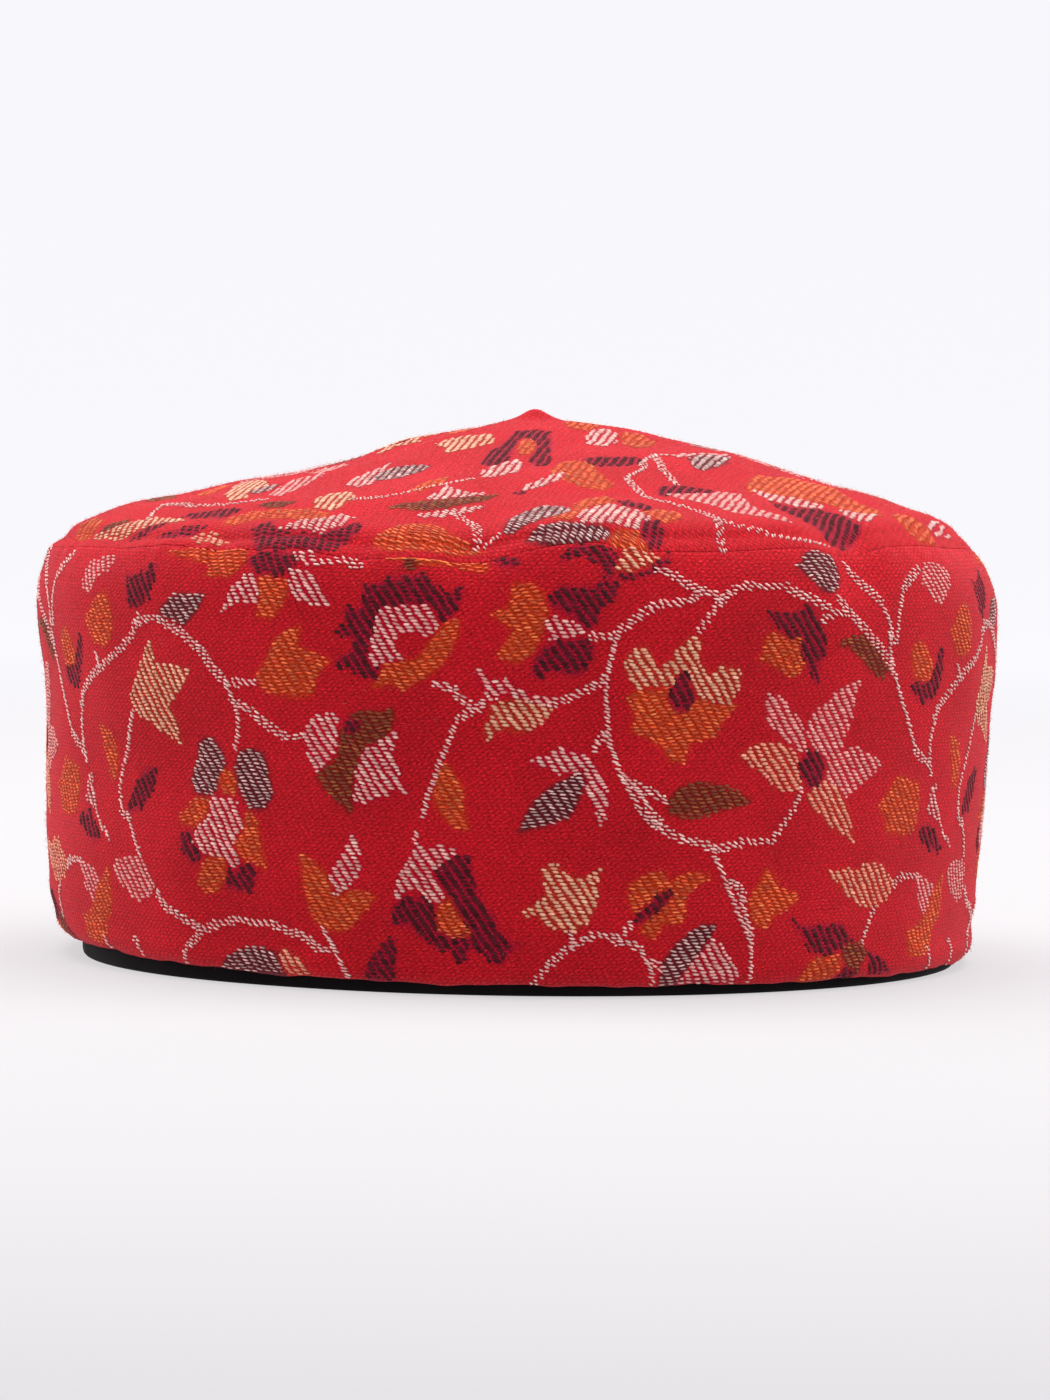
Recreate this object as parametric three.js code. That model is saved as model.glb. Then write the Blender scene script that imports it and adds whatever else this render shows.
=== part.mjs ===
// Round cap: a soft, flat-sided cap of figured red shawl cloth.
//   crown       shallow conical top panel with a small soft point at its tip
//   side_band   upright wall, flared a little to the top, turned in at the hem
//   inner_band  black facing inside the wall; its lower edge is what the cap rests on
//
// Millimetres, +Z up, the cap standing on z = 0. Angles are in degrees round +Z,
// counted from the front: 0 faces -Y, 90 faces +X (the wearer's left as seen from
// the front), 180 faces +Y and 270 faces -X.
import * as THREE from 'three';

// ------------------------------------------------------------ driving sizes
const SEGMENTS = 72;          // facets round the cap
const CLOTH = 2.0;            // wall of crown and band: cloth, stiffening and lining as sewn
const PIECE_GAP = 0.34;       // clearance between neighbouring pieces
const SEAM_CREASE = 0.55;     // how deep the top seam sinks between crown and band
const FACING = 1.8;           // thickness of the black facing
const FACING_EDGE_IN = 0.65;  // how far the facing's lowest edge tucks in below the hem
const TIP = { x: 3.1, y: 0, height: 2.1, radius: 3.5 };   // the soft point on the crown

// Wall sections, from the hem up to the top seam. z is the height, the four
// columns are the outer radius at each side, wall is the thickness there.
// hem and seam say how much of the hem's and the seam's rise a row follows.
const WALL_ROWS = [
  { z:  2.40, front: 93.3, right: 93.7, back: 93.3, left: 92.4, wall: 1.7, hem: 1.00, seam: 0.0 },
  { z:  3.40, front: 94.5, right: 94.8, back: 94.5, left: 93.8, wall: 2.3, hem: 1.00, seam: 0.0 },
  { z:  5.20, front: 95.3, right: 95.5, back: 95.3, left: 95.0, wall: 2.5, hem: 0.90, seam: 0.0 },
  { z:  8.00, front: 95.4, right: 95.4, back: 95.3, left: 95.5, wall: 2.1, hem: 0.65, seam: 0.0 },
  { z: 12.00, front: 96.0, right: 95.9, back: 95.9, left: 96.4, wall: 2.0, hem: 0.30, seam: 0.0 },
  { z: 18.00, front: 96.4, right: 96.2, back: 96.4, left: 96.8, wall: 2.0, hem: 0.00, seam: 0.0 },
  { z: 25.00, front: 96.8, right: 96.8, back: 96.8, left: 97.4, wall: 2.0, hem: 0.00, seam: 0.0 },
  { z: 33.00, front: 97.2, right: 97.6, back: 97.3, left: 97.2, wall: 2.0, hem: 0.00, seam: 0.0 },
  { z: 43.00, front: 97.6, right: 98.2, back: 97.7, left: 97.1, wall: 2.0, hem: 0.00, seam: 0.0 },
  { z: 53.00, front: 98.1, right: 98.8, back: 98.2, left: 97.6, wall: 2.0, hem: 0.00, seam: 0.0 },
  { z: 62.00, front: 98.9, right: 99.8, back: 98.9, left: 98.5, wall: 2.0, hem: 0.00, seam: 0.1 },
  { z: 69.00, front: 99.4, right: 99.8, back: 99.4, left: 99.4, wall: 2.0, hem: 0.00, seam: 0.2 },
  { z: 75.50, front: 99.5, right: 99.1, back: 99.5, left: 99.8, wall: 2.0, hem: 0.00, seam: 0.4 },
  { z: 80.00, front: 98.8, right: 97.7, back: 98.8, left: 99.2, wall: 2.0, hem: 0.00, seam: 0.7 },
  { z: 83.20, front: 97.5, right: 96.1, back: 97.5, left: 98.3, wall: 2.0, hem: 0.00, seam: 0.9 },
];

// Crown sections, from the top seam in to the tip. u is the radius as a share
// of the seam's radius, the columns are the height at each side.
const CROWN_ROWS = [
  { u: 0.978, front:  87.3, right:  87.9, back:  87.5, left:  86.5, seam: 0.90 },
  { u: 0.950, front:  89.8, right:  90.6, back:  89.9, left:  88.8, seam: 0.70 },
  { u: 0.910, front:  91.6, right:  92.5, back:  91.6, left:  90.4, seam: 0.50 },
  { u: 0.860, front:  93.0, right:  93.9, back:  93.0, left:  92.2, seam: 0.30 },
  { u: 0.800, front:  94.9, right:  96.0, back:  94.9, left:  93.8, seam: 0.15 },
  { u: 0.730, front:  96.7, right:  98.1, back:  96.7, left:  94.9, seam: 0.05 },
  { u: 0.650, front:  98.8, right: 100.1, back:  98.6, left:  96.6, seam: 0.00 },
  { u: 0.570, front: 100.8, right: 102.1, back: 100.4, left:  98.3, seam: 0.00 },
  { u: 0.490, front: 102.6, right: 104.5, back: 102.1, left:  99.7, seam: 0.00 },
  { u: 0.400, front: 104.6, right: 106.6, back: 104.2, left: 101.7, seam: 0.00 },
  { u: 0.320, front: 106.3, right: 108.0, back: 106.1, left: 103.7, seam: 0.00 },
  { u: 0.240, front: 108.2, right: 109.6, back: 108.0, left: 106.8, seam: 0.00 },
  { u: 0.180, front: 109.4, right: 110.6, back: 109.2, left: 108.2, seam: 0.00 },
  { u: 0.120, front: 110.4, right: 111.3, back: 110.3, left: 109.2, seam: 0.00 },
  { u: 0.080, front: 111.0, right: 111.6, back: 110.9, left: 110.0, seam: 0.00 },
  { u: 0.050, front: 111.3, right: 111.7, back: 111.2, left: 110.8, seam: 0.00 },
  { u: 0.025, front: 111.5, right: 111.7, back: 111.4, left: 111.3, seam: 0.00 },
];
const CROWN_TIP_Z = 111.5;    // before the soft point is added

// The top seam wanders up and down: its height round the cap.
const SEAM_RADIUS = { front: 96.0, right: 94.4, back: 96.0, left: 97.3 };
const SEAM_LEVEL = 85.4;
const SEAM_ROWS = [
  { at: -120, z: 84.8 }, { at: -105, z: 85.0 }, { at: -90, z: 84.2 }, { at: -75, z: 84.0 },
  { at: -62, z: 84.6 }, { at: -52, z: 84.6 }, { at: -44, z: 85.2 }, { at: -37, z: 84.4 },
  { at: -27, z: 85.4 }, { at: -20, z: 83.9 }, { at: -12, z: 84.0 }, { at: -5, z: 83.2 },
  { at: 1, z: 86.0 }, { at: 8, z: 87.7 }, { at: 15, z: 86.4 }, { at: 24, z: 86.3 }, { at: 36, z: 86.9 },
  { at: 43, z: 85.4 }, { at: 50, z: 87.1 }, { at: 65, z: 87.0 }, { at: 78, z: 86.2 },
  { at: 90, z: 85.3 }, { at: 104, z: 86.0 }, { at: 120, z: 85.2 }, { at: 138, z: 86.1 },
  { at: 155, z: 85.0 }, { at: 172, z: 85.8 }, { at: 190, z: 84.7 }, { at: 212, z: 85.6 },
];

// The hem's lower edge lifts a little on the left side.
const HEM_LEVEL = 2.4;
const HEM_ROWS = [
  { at: -135, z: 3.2 }, { at: -90, z: 4.1 }, { at: -60, z: 3.7 }, { at: -40, z: 2.9 },
  { at: -20, z: 2.4 }, { at: 0, z: 2.2 }, { at: 30, z: 2.1 }, { at: 60, z: 1.8 },
  { at: 90, z: 1.7 }, { at: 135, z: 2.1 }, { at: 180, z: 2.6 },
];

// Soft dents (depth above 0) and swellings (below 0) in the cloth. They run
// `wide` degrees round the cap and `tall` mm along the section from `row`, a
// height on the wall or, on the crown, a share of the seam's radius.
const WALL_DENTS = [
  { at: 43, row: 80, wide: 5, tall: 5, depth: 0.9 },
  { at: 12, row: 78, wide: 7, tall: 7, depth: 0.5 },
  { at: -12, row: 72, wide: 12, tall: 10, depth: 0.5 },
  { at: 30, row: 50, wide: 14, tall: 18, depth: 0.5 },
  { at: -30, row: 38, wide: 14, tall: 16, depth: 0.5 },
  { at: 64, row: 66, wide: 8, tall: 16, depth: -0.4 },
  { at: 130, row: 55, wide: 16, tall: 20, depth: 0.6 },
  { at: 200, row: 45, wide: 18, tall: 20, depth: 0.7 },
  { at: 255, row: 60, wide: 12, tall: 14, depth: -0.4 },
];
const CROWN_DENTS = [
  { at: -35, row: 0.62, wide: 22, tall: 0.14, depth: 0.8 },
  { at: 35, row: 0.70, wide: 20, tall: 0.10, depth: 0.5 },
  { at: 43, row: 0.95, wide: 4, tall: 0.05, depth: 0.8 },
  { at: -8, row: 0.90, wide: 8, tall: 0.06, depth: 0.5 },
  { at: 150, row: 0.60, wide: 24, tall: 0.16, depth: 0.9 },
  { at: 230, row: 0.75, wide: 18, tall: 0.12, depth: 0.7 },
];

// ------------------------------------------------------------ shape functions
const rad = THREE.MathUtils.degToRad;
const wrap = (a) => ((a % 360) + 540) % 360 - 180;          // to -180..180

// blends the four side columns smoothly round the cap
function round(row, at) {
  const sides = [['front', 0], ['right', 90], ['back', 180], ['left', 270]];
  let sum = 0;
  for (const [side, centre] of sides) {
    const off = Math.abs(wrap(at - centre));
    if (off < 90) sum += row[side] * Math.cos(rad(off)) ** 2;
  }
  return sum;
}

// smooth curve through a table of heights round the cap
function heightAt(rows, at) {
  const n = rows.length;
  const a = ((at - rows[0].at) % 360 + 360) % 360;
  const x = (i) => rows[((i % n) + n) % n].at - rows[0].at + 360 * Math.floor(i / n);
  const y = (i) => rows[((i % n) + n) % n].z;
  let i = 0;
  while (i < n - 1 && x(i + 1) <= a) i += 1;
  const h = x(i + 1) - x(i);
  const t = (a - x(i)) / h;
  const m0 = (y(i + 1) - y(i - 1)) / (x(i + 1) - x(i - 1)) * h;
  const m1 = (y(i + 2) - y(i)) / (x(i + 2) - x(i)) * h;
  return y(i) * (1 + 2 * t) * (1 - t) ** 2 + m0 * t * (1 - t) ** 2
    + y(i + 1) * t * t * (3 - 2 * t) + m1 * t * t * (t - 1);
}

function dent(dents, at, row) {
  let sum = 0;
  for (const d of dents) {
    const a = wrap(at - d.at) / d.wide;
    const b = (row - d.row) / d.tall;
    sum += d.depth * Math.exp(-(a * a + b * b));
  }
  return sum;
}

// The outer section at one angle, from the hem over the seam to the tip, as
// { r, z } points. The seam itself is the point between wall and crown.
function section(at) {
  const lift = heightAt(SEAM_ROWS, at) - SEAM_LEVEL;
  const hem = heightAt(HEM_ROWS, at) - HEM_LEVEL;
  const seamR = round(SEAM_RADIUS, at);
  const wall = WALL_ROWS.map((row) => ({
    r: round(row, at) - dent(WALL_DENTS, at, row.z),
    z: row.z + row.hem * hem + row.seam * lift,
    wall: row.wall,
  }));
  const seam = { r: seamR, z: SEAM_LEVEL + lift, wall: CLOTH };
  const crown = CROWN_ROWS.map((row) => {
    const r = row.u * seamR;
    const dx = r * Math.sin(rad(at)) - TIP.x;
    const dy = -r * Math.cos(rad(at)) - TIP.y;
    const point = TIP.height * Math.exp(-(dx * dx + dy * dy) / TIP.radius ** 2);
    return {
      r,
      z: round(row, at) + row.seam * lift - dent(CROWN_DENTS, at, row.u) + point,
      wall: CLOTH,
    };
  });
  return { wall, seam, crown };
}

const tipPoint = TIP.height * Math.exp(-(TIP.x ** 2 + TIP.y ** 2) / TIP.radius ** 2);

// unit normal (outward) and tangent (hem to tip) at each point of a section
function directions(points) {
  return points.map((p, i) => {
    const a = points[Math.max(i - 1, 0)];
    const b = points[Math.min(i + 1, points.length - 1)];
    const tr = b.r - a.r;
    const tz = b.z - a.z;
    const len = Math.hypot(tr, tz);
    return { tr: tr / len, tz: tz / len, nr: tz / len, nz: -tr / len };
  });
}

const place = (at, r, z) => new THREE.Vector3(r * Math.sin(rad(at)), -r * Math.cos(rad(at)), z);

// ------------------------------------------------------------ rings of points
const crownRings = [];        // inside from the tip to the rim, then outside to the tip
const bandRings = [];         // a closed loop round the wall's section
const facingRings = [];       // a closed loop round the facing's section
const CROWN_INNER = [13, 10, 7, 5, 3, 2, 1, 0];          // rows kept on the inside
const WALL_INNER = [14, 13, 11, 9, 7, 5, 3, 2, 1];
const FACING_ROWS = [1, 2, 3, 5, 7];                        // wall rows that the facing follows

for (let i = 0; i < SEGMENTS; i += 1) {
  const at = (360 / SEGMENTS) * i;
  const { wall, seam, crown } = section(at);
  const whole = [...wall, seam, ...crown];
  const dir = directions(whole);
  const k = wall.length;                                    // the seam's index
  const inward = (j, depth) => ({ r: whole[j].r - dir[j].nr * depth, z: whole[j].z - dir[j].nz * depth });
  const rings = (store, points) => points.forEach((p, j) => {
    (store[j] ??= []).push(place(at, p.r, p.z));
  });

  const half = PIECE_GAP / 2;
  const shifted = (side, depth) => {
    const p = inward(k, depth);
    return { r: p.r + side * half * dir[k].tr, z: p.z + side * half * dir[k].tz };
  };

  // crown: the inside from near the tip out to the sunk edge, then the outside back to the tip
  rings(crownRings, [
    ...CROWN_INNER.map((j) => inward(k + 1 + j, CLOTH)),
    shifted(1, SEAM_CREASE + CLOTH),
    shifted(1, SEAM_CREASE),
    ...crown.map((p) => ({ r: p.r, z: p.z })),
  ]);

  // band: outer rows, sunk top edge, inside rows down to the turned hem
  rings(bandRings, [
    ...wall.map((p) => ({ r: p.r, z: p.z })),
    shifted(-1, SEAM_CREASE),
    shifted(-1, SEAM_CREASE + CLOTH),
    ...WALL_INNER.map((j) => (j < 3
      ? { r: wall[j].r - wall[j].wall, z: wall[j].z }
      : inward(j, wall[j].wall))),
    { r: wall[0].r - wall[0].wall * 0.5, z: wall[0].z + 0.05 },
  ]);

  // facing: its outside stays one gap inside the wall, its foot is flat on z = 0
  const inner = FACING_ROWS.map((j) => (j < 3
    ? { r: wall[j].r - wall[j].wall, z: wall[j].z }
    : inward(j, wall[j].wall)));
  const foot = inner[0].r - PIECE_GAP;
  const outside = inner.map((p) => ({ r: p.r - PIECE_GAP, z: p.z }));
  const inside = inner.map((p) => ({ r: p.r - PIECE_GAP - FACING, z: p.z })).reverse();
  rings(facingRings, [
    { r: foot - FACING_EDGE_IN, z: 0 },
    { r: foot - 0.35 * FACING_EDGE_IN, z: 0.8 },
    ...outside,
    ...inside,
    { r: foot - FACING - 0.2, z: 0.9 },
    { r: foot - FACING - 0.1, z: 0 },
  ]);
}

// ------------------------------------------------------------ meshes
// rings of equal length are joined in order; `closed` joins the last to the
// first, otherwise each end is closed by a point on the axis
function ringSolid(rings, closed, ends) {
  const n = rings[0].length;
  const points = rings.flat();
  const index = [];
  const count = closed ? rings.length : rings.length - 1;
  for (let j = 0; j < count; j += 1) {
    const a = j * n;
    const b = ((j + 1) % rings.length) * n;
    for (let i = 0; i < n; i += 1) {
      const i2 = (i + 1) % n;
      index.push(a + i, a + i2, b + i2, a + i, b + i2, b + i);
    }
  }
  if (!closed) {
    const first = points.push(ends[0]) - 1;
    const last = points.push(ends[1]) - 1;
    const top = (rings.length - 1) * n;
    for (let i = 0; i < n; i += 1) {
      const i2 = (i + 1) % n;
      index.push(first, i2, i);
      index.push(last, top + i, top + i2);
    }
  }
  const geometry = new THREE.BufferGeometry();
  geometry.setFromPoints(points);
  geometry.setIndex(index);
  // six times the signed volume tells which way the faces point
  let volume = 0;
  for (let f = 0; f < index.length; f += 3) {
    const [p, q, s] = [points[index[f]], points[index[f + 1]], points[index[f + 2]]];
    volume += p.dot(q.clone().cross(s));
  }
  if (volume < 0) {
    for (let f = 0; f < index.length; f += 3) [index[f], index[f + 1]] = [index[f + 1], index[f]];
    geometry.setIndex(index);
  }
  geometry.computeVertexNormals();
  return geometry;
}

const redCloth = new THREE.MeshStandardMaterial({ color: 0xbf1427, roughness: 0.88, metalness: 0 });
const redCrown = new THREE.MeshStandardMaterial({ color: 0xc4182b, roughness: 0.88, metalness: 0 });
const blackPile = new THREE.MeshStandardMaterial({ color: 0x0b0a0c, roughness: 0.95, metalness: 0 });

const crown = new THREE.Mesh(ringSolid(crownRings, false, [
  new THREE.Vector3(0, 0, CROWN_TIP_Z + tipPoint - CLOTH),
  new THREE.Vector3(0, 0, CROWN_TIP_Z + tipPoint),
]), redCrown);
crown.name = 'crown';

const sideBand = new THREE.Mesh(ringSolid(bandRings, true), redCloth);
sideBand.name = 'side_band';

const innerBand = new THREE.Mesh(ringSolid(facingRings, true), blackPile);
innerBand.name = 'inner_band';

const cap = new THREE.Group();
cap.name = 'round_cap';
cap.add(crown, sideBand, innerBand);

export default cap;
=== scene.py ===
import math
import bmesh
import bpy
import numpy as np
from mathutils import Matrix, Vector


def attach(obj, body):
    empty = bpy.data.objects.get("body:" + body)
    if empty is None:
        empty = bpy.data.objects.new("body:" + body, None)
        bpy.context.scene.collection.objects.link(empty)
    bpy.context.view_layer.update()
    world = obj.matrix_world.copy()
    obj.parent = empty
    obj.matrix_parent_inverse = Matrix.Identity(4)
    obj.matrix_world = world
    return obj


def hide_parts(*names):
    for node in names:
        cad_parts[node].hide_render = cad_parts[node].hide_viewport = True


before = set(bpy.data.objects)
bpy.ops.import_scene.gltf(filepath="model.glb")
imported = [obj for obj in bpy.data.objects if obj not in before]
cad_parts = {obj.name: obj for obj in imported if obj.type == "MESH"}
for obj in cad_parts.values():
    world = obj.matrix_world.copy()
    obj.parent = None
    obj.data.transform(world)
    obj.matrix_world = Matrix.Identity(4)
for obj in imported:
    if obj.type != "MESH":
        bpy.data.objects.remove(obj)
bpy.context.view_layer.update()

# Round cap of figured red shawl cloth. Millimetres until the meshes are written.
# Angles run round +Z from the front: 0 faces -Y, 90 faces +X.
CLOTH = 2.0
SEAM_GAP = 0.03
SEAM_LIP = 0.13
FACING = 1.8
FACING_EDGE_IN = 0.65
PIECE_GAP = 0.34
TIP = dict(x=3.1, y=0.0, height=2.1, radius=3.5)

# ------------------------------------------------------------------ form
# z, front, right, back, left, wall, hem, seam
WALL_ROWS = np.array([
    (2.40, 93.3, 93.7, 93.3, 92.4, 1.7, 1.00, 0.0),
    (3.40, 94.5, 94.8, 94.5, 93.8, 2.3, 1.00, 0.0),
    (5.20, 95.3, 95.5, 95.3, 95.0, 2.5, 0.90, 0.0),
    (8.00, 95.4, 95.4, 95.3, 95.5, 2.1, 0.65, 0.0),
    (12.00, 96.0, 95.9, 95.9, 96.4, 2.0, 0.30, 0.0),
    (18.00, 96.4, 96.2, 96.4, 96.8, 2.0, 0.00, 0.0),
    (25.00, 96.8, 96.8, 96.8, 97.4, 2.0, 0.00, 0.0),
    (33.00, 97.2, 97.6, 97.3, 97.2, 2.0, 0.00, 0.0),
    (43.00, 97.6, 98.2, 97.7, 97.1, 2.0, 0.00, 0.0),
    (53.00, 98.1, 98.8, 98.2, 97.6, 2.0, 0.00, 0.0),
    (62.00, 98.9, 99.8, 98.9, 98.5, 2.0, 0.00, 0.1),
    (69.00, 99.4, 99.8, 99.4, 99.4, 2.0, 0.00, 0.2),
    (75.50, 99.5, 99.1, 99.5, 99.8, 2.0, 0.00, 0.4),
    (80.00, 98.8, 97.7, 98.8, 99.2, 2.0, 0.00, 0.7),
    (83.20, 97.5, 96.1, 97.5, 98.3, 2.0, 0.00, 0.9),
])
# u, front, right, back, left, seam
CROWN_ROWS = np.array([
    (0.978, 87.3, 87.9, 87.5, 86.5, 0.90),
    (0.950, 89.8, 90.6, 89.9, 88.8, 0.70),
    (0.910, 91.6, 92.5, 91.6, 90.4, 0.50),
    (0.860, 93.0, 93.9, 93.0, 92.2, 0.30),
    (0.800, 94.9, 96.0, 94.9, 93.8, 0.15),
    (0.730, 96.7, 98.1, 96.7, 94.9, 0.05),
    (0.650, 98.8, 100.1, 98.6, 96.6, 0.00),
    (0.570, 100.8, 102.1, 100.4, 98.3, 0.00),
    (0.490, 102.6, 104.5, 102.1, 99.7, 0.00),
    (0.400, 104.6, 106.6, 104.2, 101.7, 0.00),
    (0.320, 106.3, 108.0, 106.1, 103.7, 0.00),
    (0.240, 108.2, 109.6, 108.0, 106.8, 0.00),
    (0.180, 109.4, 110.6, 109.2, 108.2, 0.00),
    (0.120, 110.4, 111.3, 110.3, 109.2, 0.00),
    (0.080, 111.0, 111.6, 110.9, 110.0, 0.00),
    (0.050, 111.3, 111.7, 111.2, 110.8, 0.00),
    (0.025, 111.5, 111.7, 111.4, 111.3, 0.00),
])
CROWN_TIP_Z = 111.5
SEAM_RADIUS = np.array((96.0, 94.4, 96.0, 97.3))
SEAM_LEVEL = 85.4
# at, z
SEAM_ROWS = np.array([
    (-120, 84.8), (-105, 85.0), (-90, 84.2), (-75, 84.0), (-62, 84.6), (-52, 84.6),
    (-44, 85.2), (-37, 84.4), (-27, 85.4), (-20, 83.9), (-12, 84.0), (-5, 83.2),
    (1, 86.0), (8, 87.7), (15, 86.4), (24, 86.3), (36, 86.9), (43, 85.4), (50, 87.1),
    (65, 87.0), (78, 86.2), (90, 85.3), (104, 86.0), (120, 85.2), (138, 86.1),
    (155, 85.0), (172, 85.8), (190, 84.7), (212, 85.6),
])
HEM_LEVEL = 2.4
HEM_ROWS = np.array([
    (-135, 3.2), (-90, 4.1), (-60, 3.7), (-40, 2.9), (-20, 2.4), (0, 2.2), (30, 2.1),
    (60, 1.8), (90, 1.7), (135, 2.1), (180, 2.6),
])
# at, row, wide, tall, depth
WALL_DENTS = np.array([
    (43, 80, 5, 5, 0.9), (12, 78, 7, 7, 0.5), (-12, 72, 12, 10, 0.5), (30, 50, 14, 18, 0.5),
    (-30, 38, 14, 16, 0.5), (64, 66, 8, 16, -0.4), (130, 55, 16, 20, 0.6),
    (200, 45, 18, 20, 0.7), (255, 60, 12, 14, -0.4), (-30, 15, 12, 18, 0.8),
])
CROWN_DENTS = np.array([
    (-35, 0.62, 22, 0.14, 0.8), (35, 0.70, 20, 0.10, 0.5), (43, 0.95, 4, 0.05, 0.8),
    (-8, 0.90, 8, 0.06, 0.5), (150, 0.60, 24, 0.16, 0.9), (230, 0.75, 18, 0.12, 0.7),
])


def side_weights(at):
    s, c = np.sin(np.radians(at)), np.cos(np.radians(at))
    return [np.clip(v, 0, None) ** 2 for v in (c, s, -c, -s)]


def height_at(rows, at):
    x0, y0 = rows[:, 0], rows[:, 1]
    x = np.concatenate([x0 - 360, x0, x0 + 360])
    y = np.concatenate([y0, y0, y0])
    a = np.mod(np.asarray(at, float) - x0[0], 360) + x0[0]
    m = (np.roll(y, -1) - np.roll(y, 1)) / (np.roll(x, -1) - np.roll(x, 1))
    i = np.searchsorted(x, a, side="right") - 1
    h = x[i + 1] - x[i]
    t = (a - x[i]) / h
    return (y[i] * (1 + 2 * t) * (1 - t) ** 2 + m[i] * h * t * (1 - t) ** 2
            + y[i + 1] * t * t * (3 - 2 * t) + m[i + 1] * h * t * t * (t - 1))


def dent(table, at, row):
    total = np.zeros(np.broadcast(at, row).shape)
    for d_at, d_row, wide, tall, depth in table:
        a = (np.mod(at - d_at + 180, 360) - 180) / wide
        total = total + depth * np.exp(-(a * a + ((row - d_row) / tall) ** 2))
    return total


def spline(t, y, tau):
    n = len(t)
    h = np.diff(t)
    a = np.zeros((n, n))
    b = np.zeros((n,) + y.shape[1:])
    a[0, 0] = a[-1, -1] = 1
    for i in range(1, n - 1):
        a[i, i - 1], a[i, i], a[i, i + 1] = h[i - 1], 2 * (h[i - 1] + h[i]), h[i]
        b[i] = 6 * ((y[i + 1] - y[i]) / h[i] - (y[i] - y[i - 1]) / h[i - 1])
    m = np.linalg.solve(a, b)
    i = np.clip(np.searchsorted(t, tau, side="right") - 1, 0, n - 2)
    hi = h[i][:, None]
    u = (t[i + 1] - tau)[:, None]
    v = (tau - t[i])[:, None]
    return ((m[i] * u ** 3 + m[i + 1] * v ** 3) / (6 * hi)
            + (y[i] / hi - m[i] * hi / 6) * u + (y[i + 1] / hi - m[i + 1] * hi / 6) * v)


# knots of the profile: 4 radii, 4 heights, hem share, seam share, u, nominal height
knots = [list(r[1:5]) + [r[0]] * 4 + [r[6], r[7], 1.0, r[0]] for r in WALL_ROWS]
knots.append(list(SEAM_RADIUS) + [SEAM_LEVEL] * 4 + [0.0, 1.0, 1.0, SEAM_LEVEL])
for r in CROWN_ROWS:
    knots.append(list(SEAM_RADIUS * r[0]) + list(r[1:5]) + [0.0, r[5], r[0], 90.0])
knots.append([0.0] * 4 + [CROWN_TIP_Z] * 4 + [0.0, 0.0, 0.0, 90.0])
knots = np.array(knots)
mean_r, mean_z = knots[:, :4].mean(1), knots[:, 4:8].mean(1)
knot_t = np.concatenate([[0], np.cumsum(np.hypot(np.diff(mean_r), np.diff(mean_z)))])
T_SEAM, T_END = knot_t[len(WALL_ROWS)], knot_t[-1]
dense_t = np.linspace(0, T_END, 8001)
dense = spline(knot_t, knots, dense_t)
dense[:, 10] = np.interp(dense_t, knot_t, knots[:, 10])
wall_knots = np.append(WALL_ROWS[:, 5], CLOTH)
DT = dense_t[1]

rng = np.random.default_rng(11)
# soft unevenness of the cloth: waves round the cap and along the section
WAVES = [(k, rng.uniform(26, 80), rng.uniform(0, 6.28), rng.uniform(0, 6.28), 0.34 / k ** 0.6)
         for k in (2, 3, 4, 5, 7, 9, 11, 14, 17, 21, 26)]
PUCKERS = [(k, rng.uniform(0, 6.28)) for k in (61, 74, 83, 97, 109)]


def unevenness(at, t):
    a = np.radians(at)
    total = 0.0
    for k, wave, p, q, amount in WAVES:
        total = total + amount * np.sin(k * a + p) * np.sin(6.283 * t / wave + q)
    near = np.exp(-((t - T_SEAM) / 3.2) ** 2)
    slow = 0.55 + 0.45 * np.sin(5 * a + 1.3) * np.sin(3 * a + 0.4)
    for k, p in PUCKERS:
        total = total + near * slow * 0.075 * np.sin(k * a + p)
    centre = np.clip((T_END - t) / 30, 0, 1)
    return total * centre * np.clip(t / 6, 0, 1)


def seam_ridge(at, t):
    """the allowance folded inside lifts the crown beside the seam and leaves a soft crease behind it"""
    side = np.mod(at + 180, 360) - 180
    much = 0.75 + 0.25 * np.sin(4 * np.radians(at) + 1) + 0.9 * np.exp(-((side + 38) / 20) ** 2)
    away = t - T_SEAM
    lift = 0.10 * np.exp(-((away - 1.7) / 1.0) ** 2) - 0.17 * np.exp(-((away - 3.9) / 0.95) ** 2)
    return np.where(away > 0, much * lift, 0)


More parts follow.
